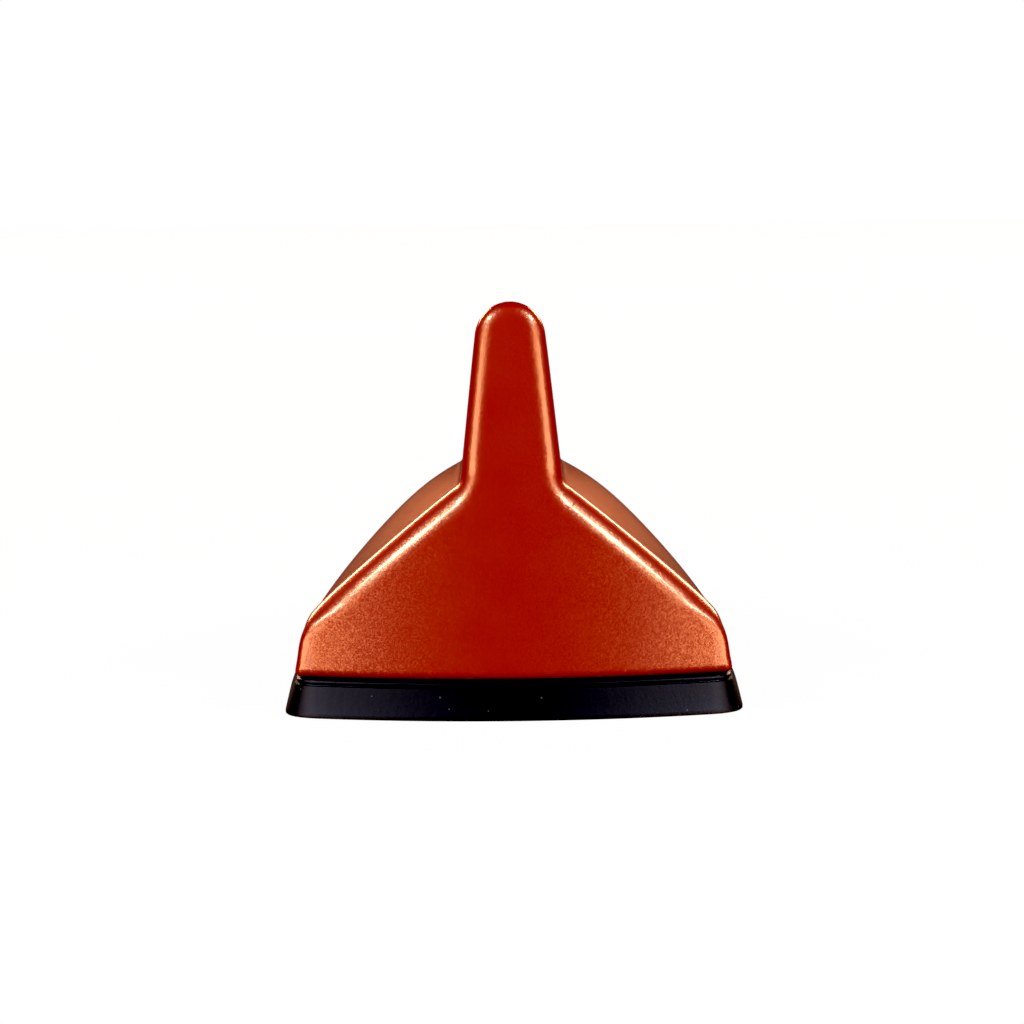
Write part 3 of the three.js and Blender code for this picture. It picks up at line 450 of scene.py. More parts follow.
def rear_line(x, inset=0):
    """The y of the rear panel's bowed foot at x, moved in by inset."""
    return REAR_Y + inset + x**2 / (2 * BOW_RADIUS)


# %% Rule for the flanks: wall, shoulder and fin
CREST_REAR_Z = TIP_Z + TIP_RISE
CREST_REAR_Y = REAR_Y + (CREST_REAR_Z - JOINT_Z) * LEAN


def falling(rear_z, nose_z, left):
    """A height that goes from rear_z, where left is 1, to nose_z, where left is 0."""
    return nose_z + (rear_z - nose_z) * left


def flank_distance(x, y, z):
    """Distance in mm from the walls, the shoulders and the fin, as if the cover had no ends."""
    taper = taper_at(y)
    half = COVER_HALF * taper
    share = np.clip((y - CREST_REAR_Y) / (NOSE_Y - CREST_REAR_Y), 0, 1)
    crest_z = falling(CREST_REAR_Z, NOSE_CREST_Z, (1 - share) ** CREST_HOLLOW)
    root_z = falling(ROOT_Z, NOSE_ROOT_Z, (1 - share**ROOT_HOLD) ** ROOT_DROP)
    corner_z = falling(CORNER_Z, JOINT_Z, (1 - share) ** CORNER_DROP)
    fin_half = FIN_ROOT_HALF * taper**FIN_NARROWING
    corner_half = half - (corner_z - JOINT_Z) * DRAFT

    # The shoulder is a bowed line from the corner (up = 0) to the root (up = 1), and straight beyond
    gained = 1 - (1 - share) ** BOW_GAIN
    bow = SHOULDER_BOW + (NOSE_BOW - SHOULDER_BOW) * gained
    up = (z - corner_z) / (root_z - corner_z)
    inside = np.clip(up, 0, 1)
    eased = inside + bow * inside * (inside - 1)
    eased = eased - HUMP_HIGH * gained * (taper > HUMP_FROM) * inside**HUMP_POWER * (1 - inside)
    eased = eased - HUMP_LOW * (1 - gained) * inside * (1 - inside) ** HUMP_POWER
    eased = eased + (1 - bow) * np.minimum(up, 0) + (1 + bow) * np.maximum(up - 1, 0)
    slope = (fin_half - corner_half) / (root_z - corner_z) * (1 - bow + 2 * bow * inside)
    shoulder = (x - (corner_half + (fin_half - corner_half) * eased)) / np.sqrt(1 + slope**2)

    flare = RIM_FLARE * np.exp(-np.abs(z - JOINT_Z) / RIM_FLARE_HEIGHT) * (taper > FLARE_FROM)
    wall = x - half + (z - JOINT_Z) * DRAFT - flare
    hull = round_meet(wall, shoulder, CORNER_ROLL)

    fin_side = (x - (fin_half - (z - root_z) * FIN_TAPER)) * math.cos(math.atan(FIN_TAPER))
    fin = round_meet(fin_side, (z - crest_z) * CREST_FALL_COSINE, CREST_ROLL)
    return round_join(hull, fin, ROOT_FILLET)


# %% Rule for the whole cover: rear panel, nose and lower edge
RIDGE_FROM, RIDGE_OVER = CORNER_Z - 1, 6
FIN_EDGE_FROM, FIN_EDGE_OVER = ROOT_Z - 3, 8


def eased_step(z, start, over):
    """A smooth step from 0 at start to 1 at start + over."""
    share = np.clip((z - start) / over, 0, 1)
    return share**2 * (3 - 2 * share)


def edge_roll(z):
    """How far the rear panel's edge is rolled over at height z: most along the ridges."""
    roll = WALL_EDGE_ROLL + (RIDGE_ROLL - WALL_EDGE_ROLL) * eased_step(z, RIDGE_FROM, RIDGE_OVER)
    return roll + (FIN_EDGE_ROLL - RIDGE_ROLL) * eased_step(z, FIN_EDGE_FROM, FIN_EDGE_OVER)


def body_distance(x, y, z):
    """Distance in mm from the painted surface, negative inside, without the lower edge."""
    x = np.abs(x) + KEEL_ROLL * np.exp(-np.abs(x) / KEEL_ROLL)
    panel = rear_line(x) + (z - JOINT_Z) * LEAN
    rear = (panel - y) / np.sqrt(1 + LEAN**2 + (x / BOW_RADIUS) ** 2)
    body = round_meet(flank_distance(x, y, z), rear, edge_roll(z))
    return round_meet(body, y - (NOSE_Y - NOSE_BLUNTED), NOSE_ROLL)


def cover_distance(x, y, z):
    """The whole painted surface, with its lower edge rolled in at the joint."""
    return round_meet(body_distance(x, y, z), JOINT_Z - z, RIM_ROLL)


# %% [markdown]
# ## From the rule to a mesh
#
# Where the distance changes sign inside a small cube, one vertex is put at the mean of the crossings
# on its edges, and the four cubes round a crossed edge share a quad. This is a surface net. A few
# Newton steps then move each vertex exactly onto the surface, so that highlights run clean. Drawing
# the patches by hand would leave seams at the rolls, and a remesh modifier would round them unevenly.

# %% Surface net
FLATTEST = 1e-3  # keeps a step finite where the distance hardly changes


def surface_net(distance, low, high, cell):
    """Points and quads of the surface where distance is zero, in cubes of size cell."""
    counts = [int(math.ceil((b - a) / cell)) + 1 for a, b in zip(low, high)]
    axes = [a + cell * np.arange(n) for a, n in zip(low, counts)]
    field = distance(axes[0][:, None, None], axes[1][None, :, None], axes[2][None, None, :])
    field = np.broadcast_to(field, counts)
    inside = field < 0
    corners = sum(
        inside[i : i + counts[0] - 1, j : j + counts[1] - 1, k : k + counts[2] - 1].astype(np.int8)
        for i in (0, 1) for j in (0, 1) for k in (0, 1)
    )
    mixed = (corners > 0) & (corners < 8)
    number = np.full(mixed.shape, -1)
    number[mixed] = np.arange(mixed.sum())
    cells = np.argwhere(mixed)
    place = np.zeros((len(cells), 3))
    weight = np.zeros(len(cells))
    faces = []
    for axis in range(3):
        u, v = (axis + 1) % 3, (axis + 2) % 3
        for a, b in ((0, 0), (0, 1), (1, 0), (1, 1)):
            start = cells.copy()
            start[:, u] += a
            start[:, v] += b
            end = start.copy()
            end[:, axis] += 1
            f0, f1 = field[tuple(start.T)], field[tuple(end.T)]
            crossed = (f0 < 0) != (f1 < 0)
            point = start.astype(float)
            point[:, axis] += np.where(crossed, f0 / np.where(crossed, f0 - f1, 1), 0)
            place += point * crossed[:, None]
            weight += crossed
        first = np.take(inside, range(counts[axis] - 1), axis)
        second = np.take(inside, range(1, counts[axis]), axis)
        edge = np.argwhere(first != second)
        edge = edge[(edge[:, u] > 0) & (edge[:, v] > 0)]
        edge = edge[(edge[:, u] < counts[u] - 1) & (edge[:, v] < counts[v] - 1)]
        du, dv = np.eye(3, dtype=int)[u], np.eye(3, dtype=int)[v]
        ring = [number[tuple((edge - s).T)] for s in (du + dv, dv, 0 * du, du)]
        quads = np.stack(ring, 1)
        outward = first[tuple(edge.T)]
        faces.append(np.where(outward[:, None], quads, quads[:, ::-1]))
    points = np.array(low) + cell * place / weight[:, None]
    return points, np.concatenate(faces)


def gradient(distance, points, step=0.02):
    """How fast the distance grows along each axis at each point."""
    out = np.zeros_like(points)
    for axis in range(3):
        shift = np.zeros(3)
        shift[axis] = step
        ahead, behind = points + shift, points - shift
        out[:, axis] = (distance(*ahead.T) - distance(*behind.T)) / (2 * step)
    return out


def onto_surface(distance, points, steps=4, limit=0.3):
    """The points after some Newton steps to the surface, none longer than limit along an axis."""
    for _ in range(steps):
        slope = gradient(distance, points)
        size = np.maximum((slope**2).sum(1), FLATTEST)
        move = -(distance(*points.T) / size)[:, None] * slope
        points = points + np.clip(move, -limit, limit)
    return points


# %% Net the painted skin
SKIN_CELL = 0.62  # cube size in mm; a finer net quickly gives many more triangles; about as fine as 200,000 triangles allow
MARGIN = 1.5
net_left = -SKIN_CELL * math.ceil((COVER_HALF + MARGIN) / SKIN_CELL)  # a cell's edge on the middle
net_low = (net_left, REAR_Y - MARGIN, JOINT_Z - MARGIN)
net_high = (COVER_HALF + MARGIN, NOSE_Y + MARGIN, TIP_Z + MARGIN)
skin_points, skin_faces = surface_net(cover_distance, net_low, net_high, SKIN_CELL)
skin_points = onto_surface(cover_distance, skin_points)
print("skin:", len(skin_points), "points,", len(skin_faces), "quads")
print("top of the skin:", skin_points[:, 2].max().round(2))

# %% [markdown]
# ## The cover as a moulded shell
#
# Under the paint the cover is a shell of black ABS, about 2 mm thick. Its inner face is the same rule
# with the distance moved in by the wall. A flange runs round inside the rim to press on the seal, and
# six tongues hang from it into spring clips. The hollow is netted coarsely, because only its gentle
# inner face shows, and cut out of the skin with a Boolean.

# %% The hollow inside the cover
FLANGE_INSET, FLANGE_TOP = 6.2, JOINT_Z + 2
FLANGE_CORNER, FLANGE_EDGE = 2.0, 0.5
NOSE_SOLID = 3  # the flange is this much wider at the nose
HOLLOW_CELL = 0.9
CUT_BELOW = 2  # the hollow reaches below the joint, so that the Boolean opens the cover
CUT_MARGIN = 1.3


def flange_distance(x, y, z):
    """Inside the ring that the flange leaves open, and everything above the flange."""
    half = (COVER_HALF - FLANGE_INSET) * taper_at(y + FLANGE_INSET / 2)
    ring = round_meet(np.abs(x) - half, rear_line(x, FLANGE_INSET) - y, FLANGE_CORNER)
    ring = np.maximum(ring, y - (NOSE_Y - FLANGE_INSET - NOSE_SOLID))
    return round_join(ring, FLANGE_TOP - z, FLANGE_EDGE)


def hollow_distance(x, y, z):
    """The room under the cover, inside the wall and the flange."""
    space = np.maximum(body_distance(x, y, z) + WALL, flange_distance(x, y, z))
    return np.maximum(space, JOINT_Z - CUT_BELOW - z)


hollow_low = (net_left, REAR_Y, JOINT_Z - CUT_BELOW - CUT_MARGIN)
hollow_points, hollow_faces = surface_net(hollow_distance, hollow_low, net_high, HOLLOW_CELL)
hollow_points = onto_surface(hollow_distance, hollow_points, steps=2)
print("hollow:", len(hollow_points), "points, down to", hollow_points[:, 2].min().round(2))

# %% Skin, hollow and tongues as one shell
TONGUE_HALF, TONGUE_REACH, TONGUE_LOW, TONGUE_HIGH = 1.0, 3.4, 5.4, 10.2
TONGUE_GAP = 0.3
PAINT_DEPTH = 0.25
PAINT_LOW = JOINT_Z + 0.05
CLIP_PAIRS = ("cover_clip_2", "cover_clip_4", "cover_clip_6")  # one clip of each facing pair


def inset_half(y, inset):
    """Half-width at y of the footprint moved in by inset."""
    return float((COVER_HALF - inset) * taper_at(y, inset))


def wall_reach(y, z):
    """How far out a tongue can go at y and z and still end inside the wall."""
    across = np.linspace(0, COVER_HALF, 400)
    return float(across[body_distance(across, y, z) < -WALL / 2].max())


def box_piece(name, low, high):
    """A box between two corners, in millimetres."""
    xs, ys, zs = zip(low, high)
    corners = [(x, y, z) for z in zs for y in ys for x in xs]
    sides = [(0, 2, 3, 1), (4, 5, 7, 6), (0, 1, 5, 4), (2, 6, 7, 3), (0, 4, 6, 2), (1, 3, 7, 5)]
    return make_piece(name, corners, sides)


cover = make_piece("painted_cover", skin_points, skin_faces.tolist(), red_paint)
cover.data.materials.append(black_abs)
combine(cover, make_piece("hollow", hollow_points, hollow_faces.tolist()), "DIFFERENCE")
for node in CLIP_PAIRS:
    y = middle(node)[1]
    flange_edge = inset_half(y, FLANGE_INSET)
    wall_bar = (wall_reach(y + TONGUE_HALF, TONGUE_HIGH), JOINT_Z + TONGUE_GAP)
    tongue_bar = (flange_edge - TONGUE_GAP, TONGUE_LOW)
    for side in (-1, 1):
        for far, low in (wall_bar, tongue_bar):
            x0, x1 = sorted((side * (flange_edge - TONGUE_REACH), side * far))
            bar = box_piece("bar", (x0, y - TONGUE_HALF, low), (x1, y + TONGUE_HALF, TONGUE_HIGH))
            combine(cover, bar, "UNION")
mesh = cover.data
middles = np.empty(len(mesh.polygons) * 3)
mesh.polygons.foreach_get("center", middles)
middles = middles.reshape(-1, 3).T / MM
painted = (cover_distance(*middles) >= -PAINT_DEPTH) & (middles[2] > PAINT_LOW)
mesh.polygons.foreach_set("material_index", (~painted).astype(np.int32))
sharpen(cover, 40)
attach(cover, "cover")
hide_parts("cover")
print("cover:", len(mesh.polygons), "faces, painted", int(painted.sum()))

# %% [markdown]
# ## Gasket
#
# The gasket is one rubber moulding: a skirt that flares down to the roof all round the cover, with a
# thin lip against the paint, and a flat web under the base plate with holes for the boss, the plug
# and the breather. The skirt is one section carried round the footprint, so each point of the section
# makes one loop of the mesh. The web is a flat plate joined to it with a Boolean.

# %% Footprint loops
CORNER_CUT, LEAST_CUT = 3.2, 0.6
REAR_STEPS, CORNER_STEPS, SIDE_STEPS = 12, 7, 55
CORNER_PASSES = 20  # more than enough for the corner's place to settle


def footprint(inset):
    """The footprint moved in by inset, as a loop of points counter-clockwise from above."""
    corner_y = REAR_Y + inset
    for _ in range(CORNER_PASSES):
        corner_y = rear_line(inset_half(corner_y, inset), inset)
    half = inset_half(corner_y, inset)
    cut = max(CORNER_CUT - inset, LEAST_CUT)
    start = np.array((half - cut, rear_line(half - cut, inset)))
    corner = np.array((half, corner_y))
    end = np.array((inset_half(corner_y + cut, inset), corner_y + cut))
    bends = np.linspace(0, 1, CORNER_STEPS + 1)
    rounded = [(1 - t) ** 2 * start + 2 * t * (1 - t) * corner + t * t * end for t in bends]
    rear = [(x, rear_line(x, inset)) for x in np.linspace(0, half - cut, REAR_STEPS + 1)[:-1]]
    shares = np.sin(np.linspace(0, math.pi / 2, SIDE_STEPS + 1)[1:])
    side_ys = end[1] + (NOSE_Y - inset - end[1]) * shares
    side = [(inset_half(y, inset), y) for y in side_ys]
    side[-1] = (0.0, side_ys[-1])
    right = rear + [tuple(p) for p in rounded] + side
    left = [(-x, y) for x, y in right[1:-1]][::-1]
    return right + left


def loops_mesh(section):
    """Points and faces of a ring whose closed section is a list of (inset, z)."""
    loops = [[(x, y, z) for x, y in footprint(inset)] for inset, z in section]
    around, count = len(loops[0]), len(loops)
    faces = [
        (i * around + j, ((i + 1) % count) * around + j,
         ((i + 1) % count) * around + (j + 1) % around, i * around + (j + 1) % around)
        for i in range(count) for j in range(around)
    ]
    return [p for loop in loops for p in loop], faces


# %% Skirt section
FLARE, LIP_TOP, SKIRT_WALL, WEB = 1.9, JOINT_Z - 0.3, 3.4, 1.6
# From the outer bottom corner up the flared face, over the lip, down inside and along the foot's ribs
skirt_section = [
    (-FLARE + 0.12, 0), (-FLARE, 0.12), (-FLARE, 0.5), (-FLARE + 0.1, 0.72),
    (-1.32, 2.0), (-0.82, 3.3), (-0.42, 4.5), (-0.3, 4.82), (0.05, 4.92), (0.12, 5.02), (0.08, 5.12),
    (-0.08, 5.22), (-0.14, 5.4), (-0.06, 5.62), (0.16, 5.8), (0.5, LIP_TOP), (2.6, LIP_TOP),
    (SKIRT_WALL, 5.7), (SKIRT_WALL, 1.0), (SKIRT_WALL, 0), (2.2, 0), (2.0, 0.35), (0.9, 0.35),
    (0.6, 0.05), (0.2, 0.05), (-0.1, 0.35), (-1.0, 0.35), (-1.25, 0),
]
points, faces = loops_mesh(skirt_section)
gasket = make_piece("rubber_gasket", points, faces, rubber)


# %% Round and prismatic bodies
def lathe(name, profile, centre, material=None, sides=48):
    """A closed body turned from (radius, z) points, listed up the outside from axis to axis."""
    points, faces, rings = [], [], []
    for radius, z in profile:
        if radius == 0:
            rings.append([len(points)])
            points.append((centre[0], centre[1], z))
        else:
            rings.append(list(range(len(points), len(points) + sides)))
            points += [(centre[0] + radius * math.cos(a), centre[1] + radius * math.sin(a), z)
                       for a in (2 * math.pi * k / sides for k in range(sides))]
    for low, high in zip(rings, rings[1:]):
        for k in range(sides):
            n = (k + 1) % sides
            if len(low) == 1:
                faces.append((low[0], high[n], high[k]))
            elif len(high) == 1:
                faces.append((low[k], low[n], high[0]))
            else:
                faces.append((low[k], low[n], high[n], high[k]))
    return make_piece(name, points, faces, material)


def cylinder(radius, low, high):
    """The profile of a plain cylinder."""
    return [(0, low), (radius, low), (radius, high), (0, high)]


# %% Web with its three holes
WEB_INTO_SKIRT = 0.5
HOLE_GAP, PLUG_GAP = 0.3, 0.6
CUT_LOW, CUT_HIGH = -1, 3  # a cutter goes right through the web


def round_hole(piece, seated, centre, sides):
    """Cuts a hole a little wider than the round node that is seated in it."""
    profile = cylinder(span(seated)[1].x + HOLE_GAP, CUT_LOW, CUT_HIGH)
    combine(piece, lathe("hole", profile, centre, sides=sides), "DIFFERENCE")


web_loop = footprint(SKIRT_WALL - WEB_INTO_SKIRT)
count = len(web_loop)
web_points = [(x, y, z) for z in (0, WEB) for x, y in web_loop]
web_faces = [tuple(reversed(range(count))), tuple(range(count, 2 * count))]
web_faces += [(k, (k + 1) % count, count + (k + 1) % count, count + k) for k in range(count)]
web = make_piece("web", web_points, web_faces, rubber)
boss_at, vent_at = middle("fixing_insert"), middle("vent_disc")
round_hole(web, "boss_seal", boss_at, 96)
round_hole(web, "vent_disc", vent_at, 48)
plug_low, plug_high = span("connector_block")
plug_hole = box_piece("hole", (plug_low.x - PLUG_GAP, plug_low.y - PLUG_GAP, CUT_LOW),
                      (plug_high.x + PLUG_GAP, plug_high.y + PLUG_GAP, CUT_HIGH))
combine(web, plug_hole, "DIFFERENCE")
combine(gasket, web, "UNION")
sharpen(gasket, 38)
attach(gasket, "base")
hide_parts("gasket")
print("gasket:", len(gasket.data.polygons), "faces")

# %% [markdown]
# ## Working parts with softened edges
#
# Castings, mouldings and folded sheet never have knife edges. For the parts whose outline the frame
# already gives, a copy of its mesh is merged, its flat faces are rejoined, and a bevel of the size
# that the process leaves runs along every edge: wide on the casting, narrow on folded sheet.

# %% Soften a copy of a frame part
BEVEL_STEPS, FLAT_ANGLE, BEVEL_ANGLE = 2, math.radians(1), math.radians(30)


def place(piece, slot, *nodes):
    """Fixes a piece to the base, in the place of the frame's nodes. The slot is not used."""
    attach(piece, "base")
    if nodes:
        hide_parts(*nodes)


def softened(node, name, material, slot, bevel_mm):
    """A copy of a node's mesh, merged and bevelled, that replaces the node."""
    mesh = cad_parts[node].data.copy()
    mesh.materials.clear()
    mesh.materials.append(material)
    build = bmesh.new()
    build.from_mesh(mesh)
    bmesh.ops.remove_doubles(build, verts=build.verts, dist=SAME_POINT)
    bmesh.ops.dissolve_limit(build, angle_limit=FLAT_ANGLE, verts=build.verts, edges=build.edges)
    build.to_mesh(mesh)
    build.free()
    piece = linked(name, mesh)
    bevel = piece.modifiers.new("edges", "BEVEL")
    bevel.width, bevel.segments = bevel_mm * MM, BEVEL_STEPS
    bevel.limit_method, bevel.angle_limit = "ANGLE", BEVEL_ANGLE
    applied(piece)
    sharpen(piece, 50)
    place(piece, slot, node)
    return piece


# Node, name of the piece, finish, slot, bevel in millimetres
SOFTENED = [
    ("cover_seal", "lid_seal", rubber, "gasket_rubber", 0.12),
    ("base_plate", "cast_base", cast_zinc, "casting", 0.22),
    ("connector_block", "plug_housing", grey_pbt, "moulding", 0.16),
    ("shield_can", "shield_lid", plated_steel, "steel", 0.14),
    ("amplifier_chip_1", "chip_rear", chip_epoxy, "moulding", 0.14),
    ("amplifier_chip_2", "chip_front", chip_epoxy, "moulding", 0.14),
    ("patch_ceramic", "ceramic_patch", fired_ceramic, "ceramic", 0.2),
    ("fin_board_holder_1", "holder_rear", grey_pbt, "moulding", 0.2),
    ("fin_board_holder_2", "holder_front", grey_pbt, "moulding", 0.2),
    ("top_cap", "folded_cap", plated_steel, "steel", 0.12),
]
for row in SOFTENED:
    piece = softened(*row)
    print(piece.name, len(piece.data.polygons), "faces")

# %% [markdown]
# ## Turned and wound parts
#
# The insert, the seal ring, the breather, the feed pin and the coil former are round, so each is a
# short profile turned about its own axis, with a small chamfer at every corner as a lathe leaves it.
# The coil is a wire: a round section swept along a helix.

# %% Turned parts
def chamfered(radius, low, high, cut=0.2, bore=0.0):
    """A profile for a disc, or for a ring when there is a bore."""
    outside = [(radius - cut, low), (radius, low + cut), (radius, high - cut), (radius - cut, high)]
    if not bore:
        return [(0, low), *outside, (0, high)]
    return [*outside, (bore + cut, high), (bore, high - cut), (bore, low + cut), (bore + cut, low)]


def ring(name, radius, low, high, bore, centre, material, cut=0.2):
    """A turned ring: the profile closes on itself round the bore."""
    profile = chamfered(radius, low, high, cut, bore)
    piece = lathe(name, profile + profile[:1], centre, material, 72)
    face_outward(piece)
    return piece


INSERT_RADIUS, INSERT_BORE, INSERT_CUT = 5.5, 3.4, 0.3
HEX_RADIUS, HEX_HEIGHT, HEX_CUT, HEX_BORE = 7.6, 1.5, 0.4, 4.2
insert_low, insert_high = span("fixing_insert")
hex_low, hex_high = insert_high.z - HEX_HEIGHT, insert_high.z
insert = ring("brass_insert", INSERT_RADIUS, insert_low.z, hex_high, INSERT_BORE, boss_at,
              turned_brass, INSERT_CUT)
hexagon = [(0, hex_low), (HEX_RADIUS - HEX_CUT, hex_low), (HEX_RADIUS, hex_low + INSERT_CUT),
           (HEX_RADIUS, hex_high - INSERT_CUT), (HEX_RADIUS - HEX_CUT, hex_high), (0, hex_high)]
nut = lathe("nut", hexagon, boss_at, turned_brass, 6)
bore = lathe("bore", cylinder(HEX_BORE, 0, 2 * hex_high), boss_at, sides=72)
combine(nut, bore, "DIFFERENCE")
combine(insert, nut, "UNION")
sharpen(insert, 25)
place(insert, "brass", "fixing_insert")

RING_WIDTH, RING_CUT = 2.3, 0.35
seal_high = span("boss_seal")[1]
boss_ring = ring("boss_ring", seal_high.x, 0, seal_high.z, seal_high.x - RING_WIDTH, boss_at,
                 rubber, RING_CUT)
sharpen(boss_ring, 40)
place(boss_ring, "gasket_rubber", "boss_seal")

vent_low, vent_high = span("vent_disc")
breather = lathe("breather", chamfered(vent_high.x, vent_low.z, vent_high.z, 0.15), vent_at,
                 membrane_felt)
sharpen(breather, 40)
place(breather, "membrane", "vent_disc")

PIN_RADIUS, SOLDER_RADIUS, SOLDER_HEIGHT = 0.5, 1.1, 0.5
pin_low, pin_high = span("patch_feed_pin")
solder_low = pin_high.z - SOLDER_HEIGHT
solder_dome = [(SOLDER_RADIUS, solder_low), (1.0, pin_high.z - 0.2), (0.6, pin_high.z - 0.02)]
feed = lathe("feed_pin", [(0, pin_low.z), (PIN_RADIUS, pin_low.z), (PIN_RADIUS, solder_low),
                          *solder_dome, (0, pin_high.z)], middle("patch_feed_pin"), copper_foil, 32)
sharpen(feed, 40)
place(feed, "brass", "patch_feed_pin")

FOOT_RADIUS, FOOT_HEIGHT, FOOT_CUT = 3.2, 1.5, 0.1
STEM_RADIUS, STEM_CUT = 2.3, 0.3
former_low, former_high = span("coil_former")
former_at = middle("coil_former")
foot = chamfered(FOOT_RADIUS, former_low.z, former_low.z + FOOT_HEIGHT, FOOT_CUT)[:-1]
stem = [(STEM_RADIUS, former_low.z + FOOT_HEIGHT), (STEM_RADIUS, former_high.z - STEM_CUT),
        (STEM_RADIUS - STEM_CUT, former_high.z), (0, former_high.z)]
former = lathe("winding_former", foot + stem, former_at, grey_pbt)
sharpen(former, 40)
place(former, "moulding", "coil_former")

# %% Wound coil
WIRE_RADIUS, COIL_RADIUS, COIL_TURNS = 0.45, 3.2, 5
STEPS_PER_TURN, WIRE_SIDES = 36, 10
coil_low, coil_high = span("antenna_coil")
coil_start = coil_low.z + WIRE_RADIUS
coil_rise = coil_high.z - WIRE_RADIUS - coil_start


def wire_loop(step):
    """The points round the wire at one step of the helix."""
    angle = 2 * math.pi * step / STEPS_PER_TURN
    share = step / (COIL_TURNS * STEPS_PER_TURN)
    out = np.array((math.cos(angle), math.sin(angle), 0))
    centre = np.array((*former_at, coil_start + coil_rise * share)) + COIL_RADIUS * out
    turns = [2 * math.pi * k / WIRE_SIDES for k in range(WIRE_SIDES)]
    return [centre + WIRE_RADIUS * (math.cos(t) * out + math.sin(t) * np.array((0, 0, 1))) for t in turns]


steps = COIL_TURNS * STEPS_PER_TURN + 1
wire_points = [p for step in range(steps) for p in wire_loop(step)]
wire_faces = [
    (i * WIRE_SIDES + k, i * WIRE_SIDES + (k + 1) % WIRE_SIDES,
     (i + 1) * WIRE_SIDES + (k + 1) % WIRE_SIDES, (i + 1) * WIRE_SIDES + k)
    for i in range(steps - 1) for k in range(WIRE_SIDES)
]
last_loop = (steps - 1) * WIRE_SIDES
wire_faces += [tuple(reversed(range(WIRE_SIDES))), tuple(range(last_loop, last_loop + WIRE_SIDES))]
coil = make_piece("wound_coil", wire_points, wire_faces, copper_wire)
face_outward(coil)
sharpen(coil, 60)
place(coil, "brass", "antenna_coil")
print("coil:", COIL_TURNS, "turns,", len(wire_faces), "faces")

# %% [markdown]
# ## Parts that repeat
#
# Four screws, six clips, three contacts and a few rows of chip resistors are the same part set at
# several places. One node tree puts an instance of a part at every point of a bare mesh, makes the
# instances real, because an exported model has none, and gives them their finish.

# %% A tree that sets a part at points
def repeat_tree():
    """Named inputs: the places, the part that goes there, and its finish."""
    tree = bpy.data.node_groups.new("part_at_points", "GeometryNodeTree")
    tree.interface.new_socket("Places", in_out="INPUT", socket_type="NodeSocketGeometry")
    tree.interface.new_socket("Part", in_out="INPUT", socket_type="NodeSocketObject")
    tree.interface.new_socket("Finish", in_out="INPUT", socket_type="NodeSocketMaterial")
    tree.interface.new_socket("Parts", in_out="OUTPUT", socket_type="NodeSocketGeometry")
    given = tree.nodes.new("NodeGroupInput").outputs
    part = add(tree, "GeometryNodeObjectInfo", Object=given["Part"])
    placed = add(tree, "GeometryNodeInstanceOnPoints", Points=given["Places"],
                 Instance=part.outputs["Geometry"])
    real = add(tree, "GeometryNodeRealizeInstances", Geometry=placed)
    done = add(tree, "GeometryNodeSetMaterial", Geometry=real, Material=given["Finish"])
    add(tree, "NodeGroupOutput", Parts=done)
    return tree


part_at_points = repeat_tree()
identifiers = {i.name: i.identifier for i in part_at_points.interface.items_tree if i.in_out == "INPUT"}


def repeated(name, part, places_mm, material):
    """One mesh with the part, made about the origin, at every place."""
    piece = make_piece(name, places_mm, [])
    setter = piece.modifiers.new("repeat", "NODES")
    setter.node_group = part_at_points
    setter[identifiers["Part"]] = part
    setter[identifiers["Finish"]] = material
    applied(piece)
    bpy.data.objects.remove(part)
    sharpen(piece, 40)
    return piece


# %% Board screws
def places(nodes):
    """Where each node stands: the middle of its underside."""
    return [(*middle(node), span(node)[0].z) for node in nodes]


def height_of(node):
    low, high = span(node)
    return high.z - low.z


def bevelled(piece, width_mm, steps):
    edges = piece.modifiers.new("edges", "BEVEL")
    edges.width, edges.segments = width_mm * MM, steps
    return applied(piece)


screws = [f"board_screw_{k}" for k in (1, 2, 3, 4)]
clips = [f"cover_clip_{k}" for k in range(1, 7)]
contacts = [f"contact_pin_{k}" for k in (1, 2, 3)]

# A pan-head screw with a hexagon socket; its thread is a stack of rings, too fine for a helix to show
THREAD_RADIUS, THREAD_DEPTH, THREAD_STEP, THREAD_LOW = 1.25, 0.16, 0.22, 0.35
POINT_RADIUS, THREAD_END = 0.9, 0.6
HEAD_RADIUS, HEAD_HEIGHT, HEAD_CUT = 2.4, 1.6, 0.2
SOCKET_RADIUS, SOCKET_DEPTH = 1, 0.9
top = height_of("board_screw_1")
head_low = top - HEAD_HEIGHT
thread = [(THREAD_RADIUS - THREAD_DEPTH * (k % 2), THREAD_LOW + THREAD_STEP * k)
          for k in range(int((head_low - THREAD_END) / THREAD_STEP))]
head = [(HEAD_RADIUS - HEAD_CUT, head_low), (HEAD_RADIUS, head_low + HEAD_CUT),
        (HEAD_RADIUS, top - 0.5), (HEAD_RADIUS - 0.4, top - 0.08), (0, top)]
screw = lathe("screw", [(0, 0), (POINT_RADIUS, 0), *thread, (THREAD_RADIUS, head_low), *head],
              (0, 0), plated_steel, 36)
socket = lathe("socket", cylinder(SOCKET_RADIUS, top - SOCKET_DEPTH, top + 1), (0, 0), sides=6)
combine(screw, socket, "DIFFERENCE")
place(repeated("board_screws", screw, places(screws), plated_steel), "steel", *screws)

# %% Spring clips and contacts
SHEET = 0.5
clip_low, clip_high = span("cover_clip_2")
clip_x, clip_y, clip_top = (clip_high - clip_low) * Vector((0.5, 0.5, 1))
clip = box_piece("clip", (-clip_x, -clip_y, 0), (clip_x, clip_y, clip_top))
trough = box_piece("trough", (-clip_x - 1, SHEET - clip_y, SHEET),
                   (clip_x + 1, clip_y - SHEET, clip_top + 1))
bevelled(combine(clip, trough, "DIFFERENCE"), 0.12, 2)
place(repeated("spring_clips", clip, places(clips), plated_steel), "steel", *clips)

